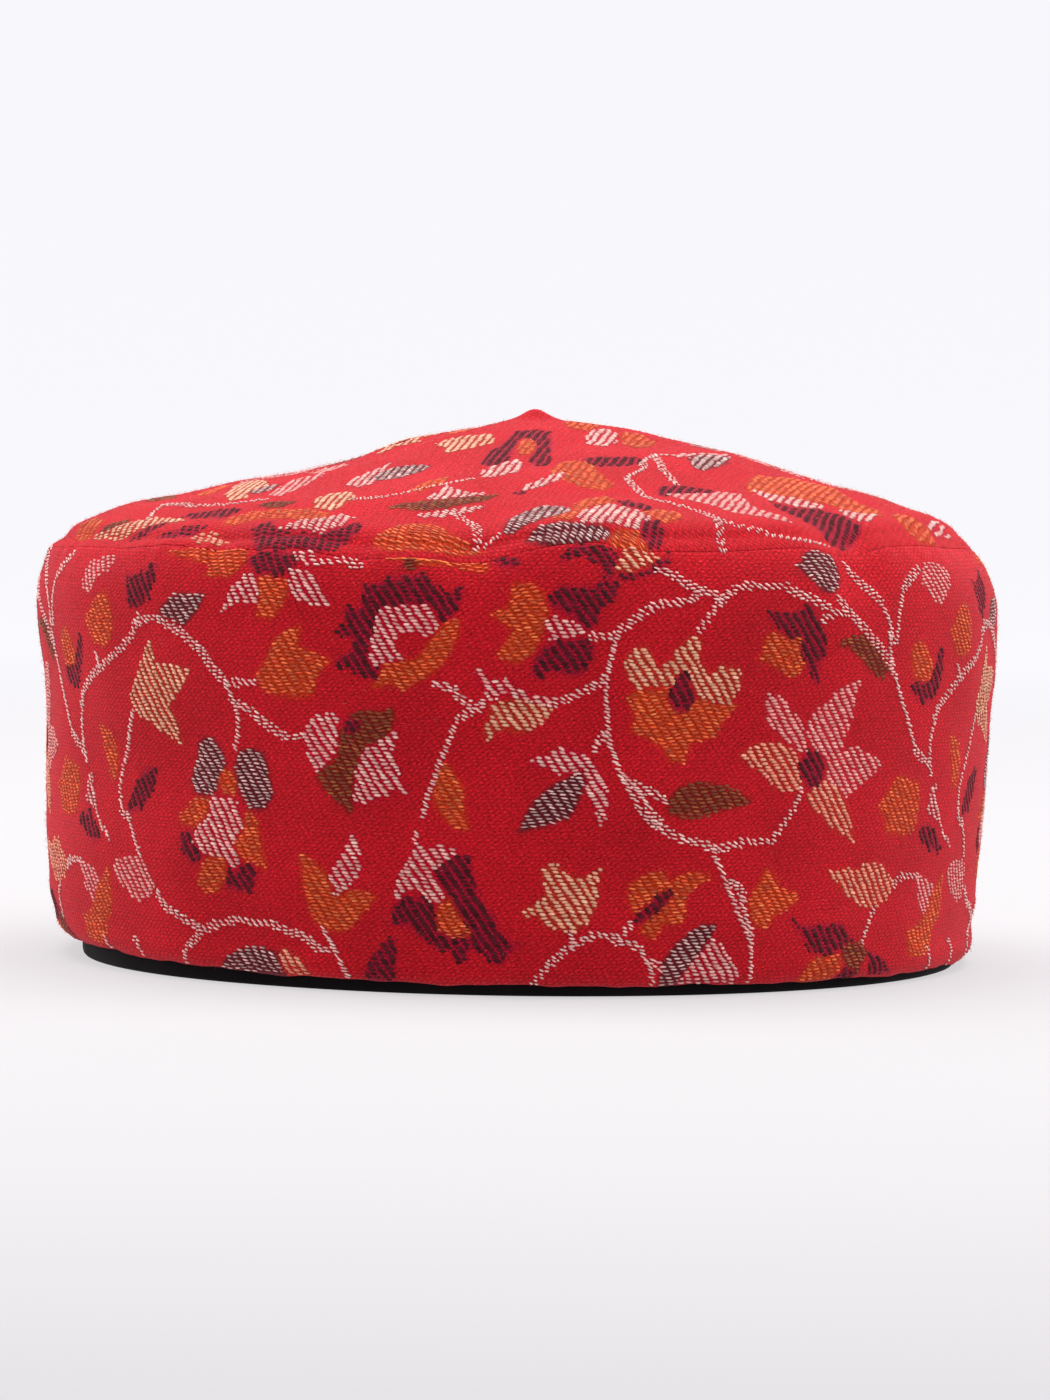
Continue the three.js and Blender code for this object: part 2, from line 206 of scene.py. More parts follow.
def surface(at, t, fine=True):
    """the outer surface: radius, height, and the section's normal, at an angle and a length along the section"""
    at, t = np.broadcast_arrays(np.asarray(at, float), np.asarray(t, float))
    f = np.clip(t / DT, 0, len(dense_t) - 1.001)
    i = f.astype(int)
    f = (f - i)[..., None]
    p = dense[i] * (1 - f) + dense[i + 1] * f
    w = side_weights(at)
    r = sum(w[k] * p[..., k] for k in range(4))
    z = sum(w[k] * p[..., 4 + k] for k in range(4))
    ahead, behind = dense[np.minimum(i + 8, len(dense_t) - 1)], dense[np.maximum(i - 8, 0)]
    tr = sum(w[k] * (ahead[..., k] - behind[..., k]) for k in range(4))
    tz = sum(w[k] * (ahead[..., 4 + k] - behind[..., 4 + k]) for k in range(4))
    size = np.hypot(tr, tz)
    nr, nz = tz / size, -tr / size
    lift = height_at(SEAM_ROWS, at) - SEAM_LEVEL
    hem = height_at(HEM_ROWS, at) - HEM_LEVEL
    z = z + p[..., 9] * lift + p[..., 8] * hem
    on_wall = t < T_SEAM
    fade = np.clip((T_SEAM - t) / 3, 0, 1)
    r = r - np.where(on_wall, dent(WALL_DENTS, at, p[..., 11]) * fade, 0)
    x, y = r * np.sin(np.radians(at)), -r * np.cos(np.radians(at))
    point = TIP["height"] * np.exp(-((x - TIP["x"]) ** 2 + (y - TIP["y"]) ** 2) / TIP["radius"] ** 2)
    fade = np.clip((t - T_SEAM) / 3, 0, 1)
    z = z + np.where(on_wall, 0, point - dent(CROWN_DENTS, at, p[..., 10]) * fade)
    if fine:
        d = unevenness(at, t) + seam_ridge(at, t)
        r, z = r + d * nr, z + d * nz
    return r, z, nr, nz


def place(at, r, z):
    a = np.radians(at)
    return np.stack([r * np.sin(a), -r * np.cos(a), z], -1)


def point(at, t):
    r, z, _, _ = surface(at, t)
    return place(at, r, z)


def basis(at, t):
    """point, unit normal, unit tangent round the cap and unit tangent along the section"""
    at, t = np.asarray(at, float), np.asarray(t, float)
    p = point(at, t)
    r = np.hypot(p[:, 0], p[:, 1])
    step = np.degrees(0.25 / np.maximum(r, 1.5))
    a = point(at + step, t) - point(at - step, t)
    b = point(at, np.minimum(t + 0.2, T_END)) - point(at, np.maximum(t - 0.2, 0))
    a /= np.linalg.norm(a, axis=1)[:, None]
    n = np.cross(a, b)
    n /= np.linalg.norm(n, axis=1)[:, None]
    return p, n, a, np.cross(n, a)


def solve_t(at, target, low, high, measure):
    lo, hi = np.full(len(at), float(low)), np.full(len(at), float(high))
    for _ in range(18):
        mid = (lo + hi) / 2
        up = measure(at, mid) < target
        lo, hi = np.where(up, mid, lo), np.where(up, hi, mid)
    return (lo + hi) / 2


# ------------------------------------------------------------------ pattern
# The cloth's repeat, charted in millimetres. On the band x runs round
# the cap (98 mm radius, 0 at the front) and y is the height; the repeat is a
# third of the way round. W white, P pink, C cream, S salmon, O orange,
# V olive, G grey, M maroon.
BAND_R = 98.0
REPEAT = 2 * math.pi * BAND_R / 3

# colour, outline, copies (steps of one repeat)
ALL = (-1, 0, 1)
BAND_MOTIFS = [
    ("M", [(-87.1, 80.2), (-84.5, 79.2), (-82.5, 80), (-81.4, 80.4), (-79.6, 82.4), (-78, 81.8), (-77.6, 79), (-78.4, 76.6), (-80.6, 74.8), (-82.8, 73), (-85.8, 73.3), (-86.9, 76.5)], ALL),
    ("G", [(-77.5, 71.9), (-75, 74.2), (-72.6, 76), (-68, 76.3), (-64, 76.5), (-65.8, 73.5), (-68, 71.2), (-70, 69.8), (-73.5, 71.2)], ALL),
    ("P", [(-104, 77.2), (-102.9, 81.7), (-98, 83.3), (-92.3, 82.8), (-94, 80), (-97.9, 78.9), (-99.6, 76.1), (-101.2, 75.3)], (0,)),
    ("P", [(92, 80.6), (95.6, 83.6), (101.6, 83.8), (105.2, 82.4), (104.6, 79.2), (101.6, 77.4), (99.4, 75.4), (96.2, 76.6)], (0, 1)),
    ("C", [(-79.9, 67.6), (-78.7, 62.3), (-73.8, 62.3), (-68.6, 61.4), (-70.4, 58.6), (-74.6, 54.6), (-72.9, 51), (-71.9, 46), (-77, 48.5), (-80, 50.3), (-83, 51), (-85.8, 53.8), (-86.8, 55.6), (-85, 59), (-82.2, 63.8)], ALL),
    ("O", [(-102.8, 70.6), (-99.6, 72.8), (-97.5, 75.2), (-95, 76.2), (-92.6, 74.5), (-91.6, 70.5), (-92.6, 66.6), (-95.5, 65), (-99, 65.6), (-100.8, 67.8)], ALL),
    ("O", [(-99.8, 50), (-97, 49), (-94.8, 47.5), (-92.8, 44.5), (-93.2, 40.5), (-94.6, 38), (-96.6, 39.6), (-97.8, 43.5), (-99, 47)], ALL),
    ("M", [(-90, 32.4), (-88.6, 36), (-86.4, 39.2), (-83.5, 41.4), (-80, 42.3), (-80.2, 39.8), (-82, 36), (-84.4, 33.4), (-87.8, 32.2)], ALL),
    ("P", [(-94.4, 21.2), (-92.5, 23.2), (-88, 23.6), (-84.2, 23.8), (-82, 21.5), (-79.8, 17.6), (-82, 15.8), (-86, 14.9), (-89.4, 16.6), (-92.8, 19.2)], ALL),
    # iris
    ("G", [(-68, 45), (-67.6, 47.4), (-65.8, 48.4), (-63.4, 48.1), (-61.6, 45.8), (-60.7, 42.7), (-62.8, 40.4), (-63.4, 37.6), (-66, 36.8), (-68.8, 37), (-70.4, 39.8), (-69.4, 42)], ALL),
    ("G", [(-58.8, 42.6), (-57.6, 45.8), (-55, 46.6), (-51.6, 46), (-50.6, 42.6), (-50.2, 39.6), (-49.6, 37.4), (-51.6, 34.8), (-55, 34.8), (-57.2, 37.2), (-58.4, 39.8)], ALL),
    ("O", [(-74, 31.6), (-71.6, 33.8), (-69.4, 36), (-66, 36.6), (-64.2, 35.4), (-65.4, 32.6), (-68.2, 30.4), (-71, 31.2)], ALL),
    ("W", [(-65, 36.6), (-61, 37.4), (-58, 36.4), (-56.2, 31), (-57.6, 29.6), (-58.4, 27.8), (-56.4, 23), (-59.4, 22.6), (-61, 25.2), (-63.4, 25.6), (-66, 25.4), (-68.8, 27.2), (-68.4, 30.2), (-65.6, 33)], ALL),
    ("O", [(-63.2, 40.2), (-61.6, 42.4), (-59.6, 42.2), (-58.2, 40), (-58.8, 37), (-61.6, 37.4)], ALL),
    ("O", [(-56, 34.6), (-53.2, 32.8), (-52, 27.6), (-50.8, 23), (-53.8, 24.6), (-57, 25.6), (-58.4, 28.2), (-56.4, 30.4)], ALL),
    ("M", [(-72, 29), (-69.6, 29.8), (-68.8, 27.2), (-66.2, 25.4), (-67.8, 23.4), (-70.2, 24.4), (-72.2, 26.6)], ALL),
    ("O", [(-67.8, 19.4), (-66.6, 22.8), (-64.4, 25.4), (-60.6, 25), (-60.4, 21.4), (-62.6, 18), (-65.6, 17.6)], ALL),
    ("M", [(-60.4, 21.6), (-57.2, 23), (-54.8, 24.6), (-53, 22.2), (-54.4, 19.2), (-57.8, 18.4), (-61, 19)], ALL),
    # leaf cut by the hem, and its neighbour
    ("G", [(-65.4, 0), (-65, 2.4), (-62.6, 4.8), (-59.4, 7), (-54, 7.9), (-49.4, 7.2), (-48, 2.4), (-47.8, 0)], ALL),
    ("S", [(-49.2, 8.4), (-46, 7.4), (-43.6, 6), (-41.4, 2.4), (-41, 0), (-48, 0), (-48, 2.4)], ALL),
    # leaf pair
    ("M", [(96, 31.3), (99.3, 31.6), (102.7, 30.8), (106.6, 26.8), (104.2, 25.6), (99.4, 27.4), (95.8, 29.4)], ALL),
    ("W", [(95.8, 35.6), (98.5, 34.4), (99.2, 38.6), (101.2, 39.4), (102.8, 35.6), (105, 31), (108.5, 28.8), (112, 26), (108, 27.4), (103.6, 31.4), (100.2, 33)], ALL),
    ("P", [(95.5, 21.4), (99.2, 21.4), (104.6, 19.4), (107.2, 16.4), (104.6, 11.4), (100.6, 13), (97.8, 16.4)], ALL),
    ("O", [(-104, 13.6), (-102, 16.4), (-99.4, 18.8), (-95.6, 21.8), (-96, 18), (-95.6, 14.6), (-96.4, 12), (-99.4, 10.4), (-99.8, 7), (-104, 5), (-110, 5.4), (-111.4, 11), (-107.4, 11.2)], ALL),
    # flower at the top seam, left of the middle
    ("W", [(-46, 81.6), (-42.6, 82.4), (-40, 80.6), (-38.6, 78.2), (-36.2, 74.8), (-40.2, 75), (-43, 75.6), (-44.8, 77.4)], ALL),
    ("W", [(-60.8, 72.8), (-58.8, 76.6), (-57.8, 78.6), (-54, 80.6), (-50.6, 79.2), (-51.8, 75.2), (-56, 75.4)], ALL),
    ("O", [(-52, 80.2), (-48, 79.8), (-45, 78.8), (-45.8, 75.4), (-48.6, 71.8), (-52.2, 72.2), (-51.6, 76)], ALL),
    ("M", [(-56, 83), (-52.8, 84.9), (-48, 85.4), (-44.6, 84.6), (-44.4, 81.4), (-48.6, 80.4), (-52, 80.4)], ALL),
    ("W", [(-45.4, 85.2), (-41, 85.2), (-39.4, 83.4), (-41.6, 82.4), (-44, 83.2)], ALL),
    ("O", [(-77, 84.2), (-68, 85.4), (-61, 85.8), (-56, 85.2), (-55.6, 82.6), (-58, 80), (-65, 79.6), (-63.8, 82), (-70.6, 83.2)], ALL),
    # big ragged flower
    ("M", [(-35.6, 70.4), (-33.2, 70.8), (-33.4, 74.4), (-30.4, 74), (-29.6, 79), (-27, 79.2), (-24.8, 80.9), (-21.4, 80.2), (-18.6, 81.6), (-15.8, 79.4), (-13.8, 77), (-10.2, 79), (-11, 75.2), (-12, 73.2), (-14.8, 72.2), (-15.2, 74.8), (-19, 75.4), (-23.6, 74.8), (-26.4, 74), (-27.4, 71), (-28.4, 67.6), (-27.2, 64), (-26.4, 62.2), (-27.2, 60.8), (-30.2, 61.6), (-32.4, 63.2), (-35.8, 63), (-34.6, 65.2), (-32.4, 65.8), (-31.8, 68), (-34, 69.4)], ALL),
    ("W", [(-26.4, 74.2), (-23.6, 75), (-19, 75.6), (-15.6, 74.4), (-14.6, 72), (-15.4, 70.4), (-17.6, 69), (-18.4, 70), (-21.6, 70), (-23.4, 68.8), (-23.2, 66.4), (-21.4, 64.8), (-24.6, 64.2), (-27.2, 63), (-28.6, 64.4), (-28.4, 68), (-27.4, 71.2)], ALL),
    ("O", [(-10.8, 72.6), (-11.2, 70), (-11.9, 67.2), (-14.6, 63.4), (-18.6, 60.6), (-21.4, 58.8), (-24, 60), (-28.4, 59), (-26.4, 61.2), (-25.6, 63.4), (-21.4, 64.6), (-18.8, 65.2), (-17, 67.8), (-14.8, 70.6), (-13.6, 72.2)], ALL),
    ("O", [(-52.6, 61), (-50, 64.4), (-48.6, 67.6), (-46, 69.6), (-42.6, 70.8), (-43.2, 66.8), (-40.8, 65.8), (-36.2, 64.2), (-38.8, 61.6), (-40, 57.2), (-44, 56.8), (-48.4, 57.2), (-51.6, 59)], ALL),
    # leaf cluster
    ("W", [(-42.6, 49.6), (-40.2, 53), (-37, 54), (-34.4, 53.8), (-34.8, 51), (-34.8, 48.4), (-35.2, 46.2), (-37, 44.6), (-39.8, 42), (-41.6, 45.6)], ALL),
    ("V", [(-33.4, 53), (-30.2, 54.8), (-23.6, 55.2), (-23.8, 51.6), (-25.8, 49.4), (-30, 46.8), (-31.2, 43), (-32.2, 39.4), (-31.8, 36), (-32.8, 34.6), (-34.8, 36.6), (-38, 39.2), (-40.4, 41.6), (-38.4, 43.2), (-36.4, 44.4), (-35, 46), (-34.6, 48.4), (-34.4, 51)], ALL),
    ("M", [(-33.8, 52.9), (-32, 53.4), (-30, 52.6), (-30.4, 50.8), (-33.4, 50.4)], ALL),
    ("W", [(-29.6, 47.8), (-25.4, 49.4), (-22.6, 52), (-22.8, 48.6), (-23.6, 46.6), (-22.6, 43), (-21, 40.4), (-19.6, 38.4), (-23.6, 39.6), (-26.2, 37.8), (-30.2, 36.6), (-32.4, 36.6), (-31.4, 40), (-31.6, 42.8), (-30.2, 46)], ALL),
    # star at the middle
    ("W", [(-8.2, 62.4), (-6.6, 63), (-4.8, 61.2), (-1.2, 61.8), (0.2, 59.8), (3, 58.6), (8, 57.6), (6.4, 55.6), (2, 57.4), (-2, 58.4), (-5, 56.6), (-6.2, 58.6)], ALL),
    ("C", [(-5, 56.4), (-1, 57.6), (3.6, 57), (7.2, 55.6), (5.2, 53.4), (2.4, 51.2), (0, 50.8), (-1.4, 51.8), (-3.8, 51), (-5.4, 48.8), (-6.2, 51.6), (-5, 54)], ALL),
    ("O", [(-14.8, 44), (-13.2, 45), (-11.2, 42.2), (-9.6, 39.8), (-9.7, 36), (-8.6, 32), (-12, 33), (-14.6, 35.6), (-15.8, 38.8)], ALL),
    # tulip
    ("W", [(-19.6, 29.6), (-16.8, 28.8), (-14, 29), (-10, 28.8), (-12, 26.6), (-13.8, 25.2), (-15.6, 24.4), (-14.6, 22), (-13.6, 19.8), (-13.2, 17.4), (-16.2, 18.6), (-18.6, 20.6), (-21, 20.6), (-22, 18.4), (-23.8, 17.2), (-23.2, 22), (-22, 25), (-20.2, 27.2)], ALL),
    ("M", [(-14.4, 25.2), (-11.4, 27.2), (-8.6, 27.4), (-8, 23.8), (-6.8, 20.4), (-5.6, 17.6), (-3.4, 15.8), (-3, 13), (-0.8, 11), (2.2, 9.9), (-0.4, 9), (-2, 6.4), (-4.8, 7), (-6, 9), (-9, 9.2), (-9, 6.6), (-11.4, 7), (-12, 9.2), (-15.2, 9.4), (-18, 11.4), (-20.2, 13), (-23.8, 13.6), (-23.8, 16.8), (-21.6, 19.2), (-17.6, 19.4), (-15.4, 16.8), (-14.8, 13), (-11.8, 11.8), (-7.8, 12), (-11.2, 17), (-13.4, 20.6), (-15.6, 24.2)], ALL),
    ("O", [(-14.8, 17.2), (-13.6, 18.4), (-12.4, 19.2), (-11.2, 16.6), (-7.8, 12), (-11.8, 12), (-14.8, 13.2)], ALL),
    ("M", [(-30.6, 0), (-30.4, 2.2), (-28.8, 6.4), (-26.4, 9.2), (-23.8, 11.2), (-23, 7.6), (-23.8, 2.2), (-24, 0)], ALL),
    # three-lobed leaf
    ("W", [(-32, 31.6), (-30.8, 29), (-29.8, 25.2), (-31.2, 22), (-34.4, 19.8), (-36.6, 18.2), (-37.4, 22.6), (-35.2, 26.2), (-33.4, 28.8)], ALL),
    ("O", [(-44, 26.8), (-41.8, 26), (-39, 24.4), (-37, 22), (-36.2, 18.6), (-32.6, 20), (-30.2, 20), (-27, 18.8), (-30, 15.4), (-32.4, 12.8), (-35.8, 11.4), (-39.2, 12.6), (-41.4, 15), (-42.8, 19.8), (-42.8, 23.6)], ALL),
    # top flower right of the middle
    ("O", [(-1.2, 79.8), (2.6, 79.6), (5, 77.8), (5.8, 74), (5, 70.4), (3.4, 66.6), (0, 64.2), (-3.8, 66), (-0.6, 71), (-5.4, 73.8), (-1, 75.6)], ALL),
    ("W", [(5, 72.2), (7.2, 73.4), (10.6, 72.6), (13.6, 70.6), (10.4, 69.4), (6.2, 68.4)], ALL),
    ("M", [(5.6, 76.8), (7.8, 79.4), (11, 79), (14.4, 79.2), (16.2, 81.2), (19.6, 79.6), (18.4, 77), (16.2, 75.4), (14.6, 71.6), (12.8, 71), (10.6, 73.4), (6.8, 75)], ALL),
    ("M", [(2.8, 64.4), (4.6, 67.4), (8.4, 69.2), (13.2, 69.4), (14.5, 67.2), (13.4, 63), (11, 62.2), (6.2, 63), (4, 61.6), (2.7, 62.6)], ALL),
    ("C", [(18.6, 82.4), (20.2, 85.2), (20.8, 87), (24, 86.4), (28.4, 85.2), (25.6, 83.2), (22, 82)], ALL),
    ("M", [(8, 84.2), (9.8, 86.8), (13.4, 87.3), (17.6, 86.4), (19.8, 85), (18.4, 82.2), (22.2, 81.6), (26, 82.8), (30.6, 86), (29, 83), (25, 81.2), (20.4, 80.6), (16.6, 81.4), (15.6, 84), (12, 85.4), (9.4, 84)], ALL),
    ("M", [(-5.4, 84.2), (-2.6, 84.8), (0.4, 84.2), (0.2, 82.8), (-3, 82.6)], ALL),
    ("O", [(-27, 85), (-24, 83.8), (-18, 82.8), (-12, 82.8), (-8, 81.8), (-5.4, 81.6), (-6, 83.6), (-10, 84.6), (-18, 85.6), (-25, 86.6)], ALL),
    ("V", [(-22.6, 82.2), (-20.6, 81.6), (-19.4, 83), (-20.4, 85), (-22.2, 85)], ALL),
    # open flower right of the middle
    ("C", [(20.4, 65), (22.2, 67.8), (24.6, 68.2), (25.8, 66.2), (26.8, 63.6), (29.4, 65.2), (31, 67.8), (33.4, 69.8), (35.6, 69.8), (35.4, 65), (37.8, 62.2), (40, 64.4), (44, 64), (44.6, 61), (43.2, 57), (39.6, 57.2), (35.8, 58), (34.6, 60.4), (32.6, 62.8), (30.4, 60.4), (26.6, 60.2), (23.2, 59.8), (21.2, 62.2)], ALL),
    ("O", [(21, 58.4), (24, 59.8), (29.6, 59.8), (30.6, 56.4), (34, 56), (35.4, 57.8), (40, 56.8), (44.6, 56.8), (41.4, 53.4), (40.2, 50.4), (34.6, 49.4), (33.4, 45.4), (30.4, 45.4), (28.8, 48.4), (25, 50.6), (22.6, 51.6), (23.2, 55)], ALL),
    ("M", [(30, 60), (31.4, 62), (31.8, 63.4), (33.4, 62.8), (33.8, 60.6), (35.2, 57.8), (33.8, 55.2), (31, 55.4), (29.2, 57.8)], ALL),
    # white petals and grey leaf
    ("W", [(2.2, 45.9), (5.6, 46.8), (9, 48.6), (11.8, 48), (14.4, 46.4), (16.8, 43), (18, 40.4), (18, 35), (16.6, 33.4), (15, 37), (13.4, 40.4), (11.8, 43.4), (9, 43.4), (6, 44.4), (3.4, 44.8)], ALL),
    ("G", [(0.6, 31.8), (2.6, 36.6), (6, 40.4), (10, 42.6), (13, 44.2), (13.6, 41.6), (12.2, 37.6), (10.6, 34.8), (5.6, 33.2), (2.2, 32.2)], ALL),
    ("V", [(29.8, 38.4), (32.2, 41), (36, 41.9), (40.6, 41.3), (44.6, 40), (48.6, 37.8), (44.4, 36.8), (40, 36), (36, 34.8), (32.6, 35), (30.4, 35.8)], ALL),
    ("C", [(1.6, 17), (3.4, 17.8), (5.2, 19), (6.2, 20.6), (5.4, 25), (7.8, 26.2), (10.6, 24), (14, 23), (17.4, 25.6), (16.8, 22), (16.8, 18.8), (15, 14.8), (12.2, 13), (8.8, 13.2), (6, 14.2), (4.8, 16), (2.6, 15.8)], ALL),
    # small flower low on the right
    ("O", [(22.8, 20), (22.8, 22.2), (25.6, 23.6), (29.4, 24.8), (31.6, 22.4), (33.4, 24), (37, 24.4), (40.2, 23.4), (36.2, 21), (34.6, 19.8), (34.6, 16.4), (33.4, 14.2), (30.2, 14.4), (28, 11.4), (25.4, 12.6), (25.6, 15), (24.2, 16.4), (23.2, 17.8)], ALL),
    ("M", [(23.8, 15), (24.4, 16.6), (27.6, 19.4), (31.2, 21.2), (32.2, 20.2), (30, 17.6), (26.8, 15.2), (25, 14.2)], ALL),
    ("W", [(40.4, 11.6), (42.8, 10), (44.6, 7.6), (46.8, 4.8), (47.4, 2.4), (47.4, 0), (33.6, 0), (33.6, 2.4), (35.4, 5.6), (38.2, 8.6)], ALL),
    ("G", [(29.6, 0), (29.8, 2.4), (30, 7), (32.6, 10.4), (35.4, 12.8), (38.4, 14.2), (41.2, 14), (40, 11.6), (37.8, 8.2), (35, 5.2), (33.4, 2.4), (33.2, 0)], ALL),
    # leaves and crescent, upper right
    ("G", [(56.8, 83.4), (58.8, 84.2), (60.8, 86.2), (64, 86.6), (68, 85.2), (68.8, 81.6), (67.4, 79), (64.6, 78), (62.4, 79), (60.2, 81.2)], ALL),
    ("O", [(49.2, 69.6), (51.2, 71), (54, 69.4), (57.8, 69.4), (57.4, 66.8), (59, 64), (56.4, 62), (53.4, 63.2), (50.8, 64.4), (48.2, 65.6)], ALL),
    ("M", [(49.2, 74.6), (53.6, 74.4), (57.4, 75), (60.2, 75.8), (61.4, 73.2), (63.6, 69.6), (63.8, 66.4), (61.6, 64), (62.8, 60.2), (60.6, 61.6), (59, 64), (57.2, 67.2), (57.8, 69.6), (54, 69.4), (51.8, 71.8)], ALL),
    ("V", [(66, 68.2), (70, 69.8), (74, 69.9), (77, 67.8), (79.2, 65.4), (81.4, 63), (79.6, 61.4), (75.8, 62.8), (72.4, 65.6), (69.8, 67.2)], ALL),
    ("O", [(88.4, 67.6), (91.6, 68.6), (94.6, 66), (96.4, 63), (95, 60.4), (90.2, 60.4), (88.2, 64.4)], ALL),
    ("M", [(88.4, 59.2), (90, 60.8), (95, 60.4), (96.8, 63.2), (98.4, 67), (100.4, 67.4), (100.2, 64), (99.6, 60.4), (97.4, 57.2), (94.6, 56), (91.2, 57)], ALL),
    # star flower
    ("P", [(50, 59.2), (53.6, 57.8), (56.4, 56), (58.8, 53.8), (60.2, 51.2), (61, 47.2), (58, 47.4), (54.6, 50), (51.2, 53)], ALL),
    ("P", [(60.2, 51.2), (61.8, 55.2), (65.6, 57.4), (66.4, 59.2), (70, 60.2), (73.4, 61), (72.6, 57.6), (72.4, 54), (71, 51), (70.2, 47.6), (66, 46), (63.4, 47.4)], ALL),
    ("P", [(70.2, 47.6), (74.8, 47.4), (78.2, 46.4), (81.6, 44.4), (80, 43), (77.4, 41), (73.8, 40), (72.2, 38), (69.8, 39.4), (66, 42.4), (65.8, 45.8)], ALL),
    ("S", [(44.8, 46.8), (48.6, 49), (52, 49.4), (55, 48.8), (58.6, 46.4), (58.8, 43), (59.8, 39.8), (56.4, 39.8), (52.8, 40.4), (51, 42.8), (48.2, 44.6)], ALL),
    ("S", [(60.6, 39), (63, 40.2), (65.8, 42), (69.2, 40), (72, 36.6), (73.2, 32.6), (74.8, 29), (71.8, 30.4), (69, 31.4), (65.6, 33.8), (62.4, 36.2)], ALL),
    ("M", [(58.4, 44.2), (60, 46.8), (63.4, 47.6), (65.4, 45), (65.2, 43), (64, 40.2), (61.4, 40), (59.4, 42)], ALL),
    # lower right
    ("O", [(52.2, 24.8), (50, 21), (48, 18.8), (48.8, 15.8), (50, 13.6), (53, 13), (54.4, 15.4), (56.4, 16.4), (60.4, 18), (59.8, 20), (55.8, 20.6), (54.4, 23.2)], ALL),
    ("M", [(57.6, 14.6), (60.8, 13), (66.2, 13.4), (72, 13.4), (73.2, 11.8), (76, 9.8), (72.4, 8.2), (69, 6.8), (65.2, 7.6), (63, 9.8), (60.4, 12.2)], ALL),
    ("S", [(67.6, 23.4), (70, 24), (75.8, 23.8), (77.6, 25.2), (82, 25), (84.8, 23.2), (88.4, 20.2), (85.8, 17), (81.2, 15.9), (77, 16.6), (72.6, 18.8)], ALL),
    ("O", [(80.4, 36), (83.4, 38.4), (86.8, 42.2), (90.2, 41.2), (94.8, 40), (95.2, 35.4), (94, 31), (89, 30.2), (83.4, 30.8), (83, 33.8)], ALL),
    ("O", [(61.8, 0), (61.8, 2.8), (64, 6), (66.4, 7.2), (72, 6.8), (73, 4.6), (71, 2.2), (71, 0)], ALL),
    ("V", [(72.4, 7.8), (74.8, 9.4), (78.2, 9), (81, 7), (79, 5.4), (78.4, 2.2), (74, 4.8)], ALL),
    ("M", [(71.8, 0), (72, 2.2), (73.8, 4.6), (76.6, 4), (78.6, 2.2), (78.6, 0)], ALL),
    ("M", [(80.6, 7.4), (84, 6.4), (87, 4.4), (91, 2.2), (83.4, 2.2), (81.4, 4.6)], ALL),
]

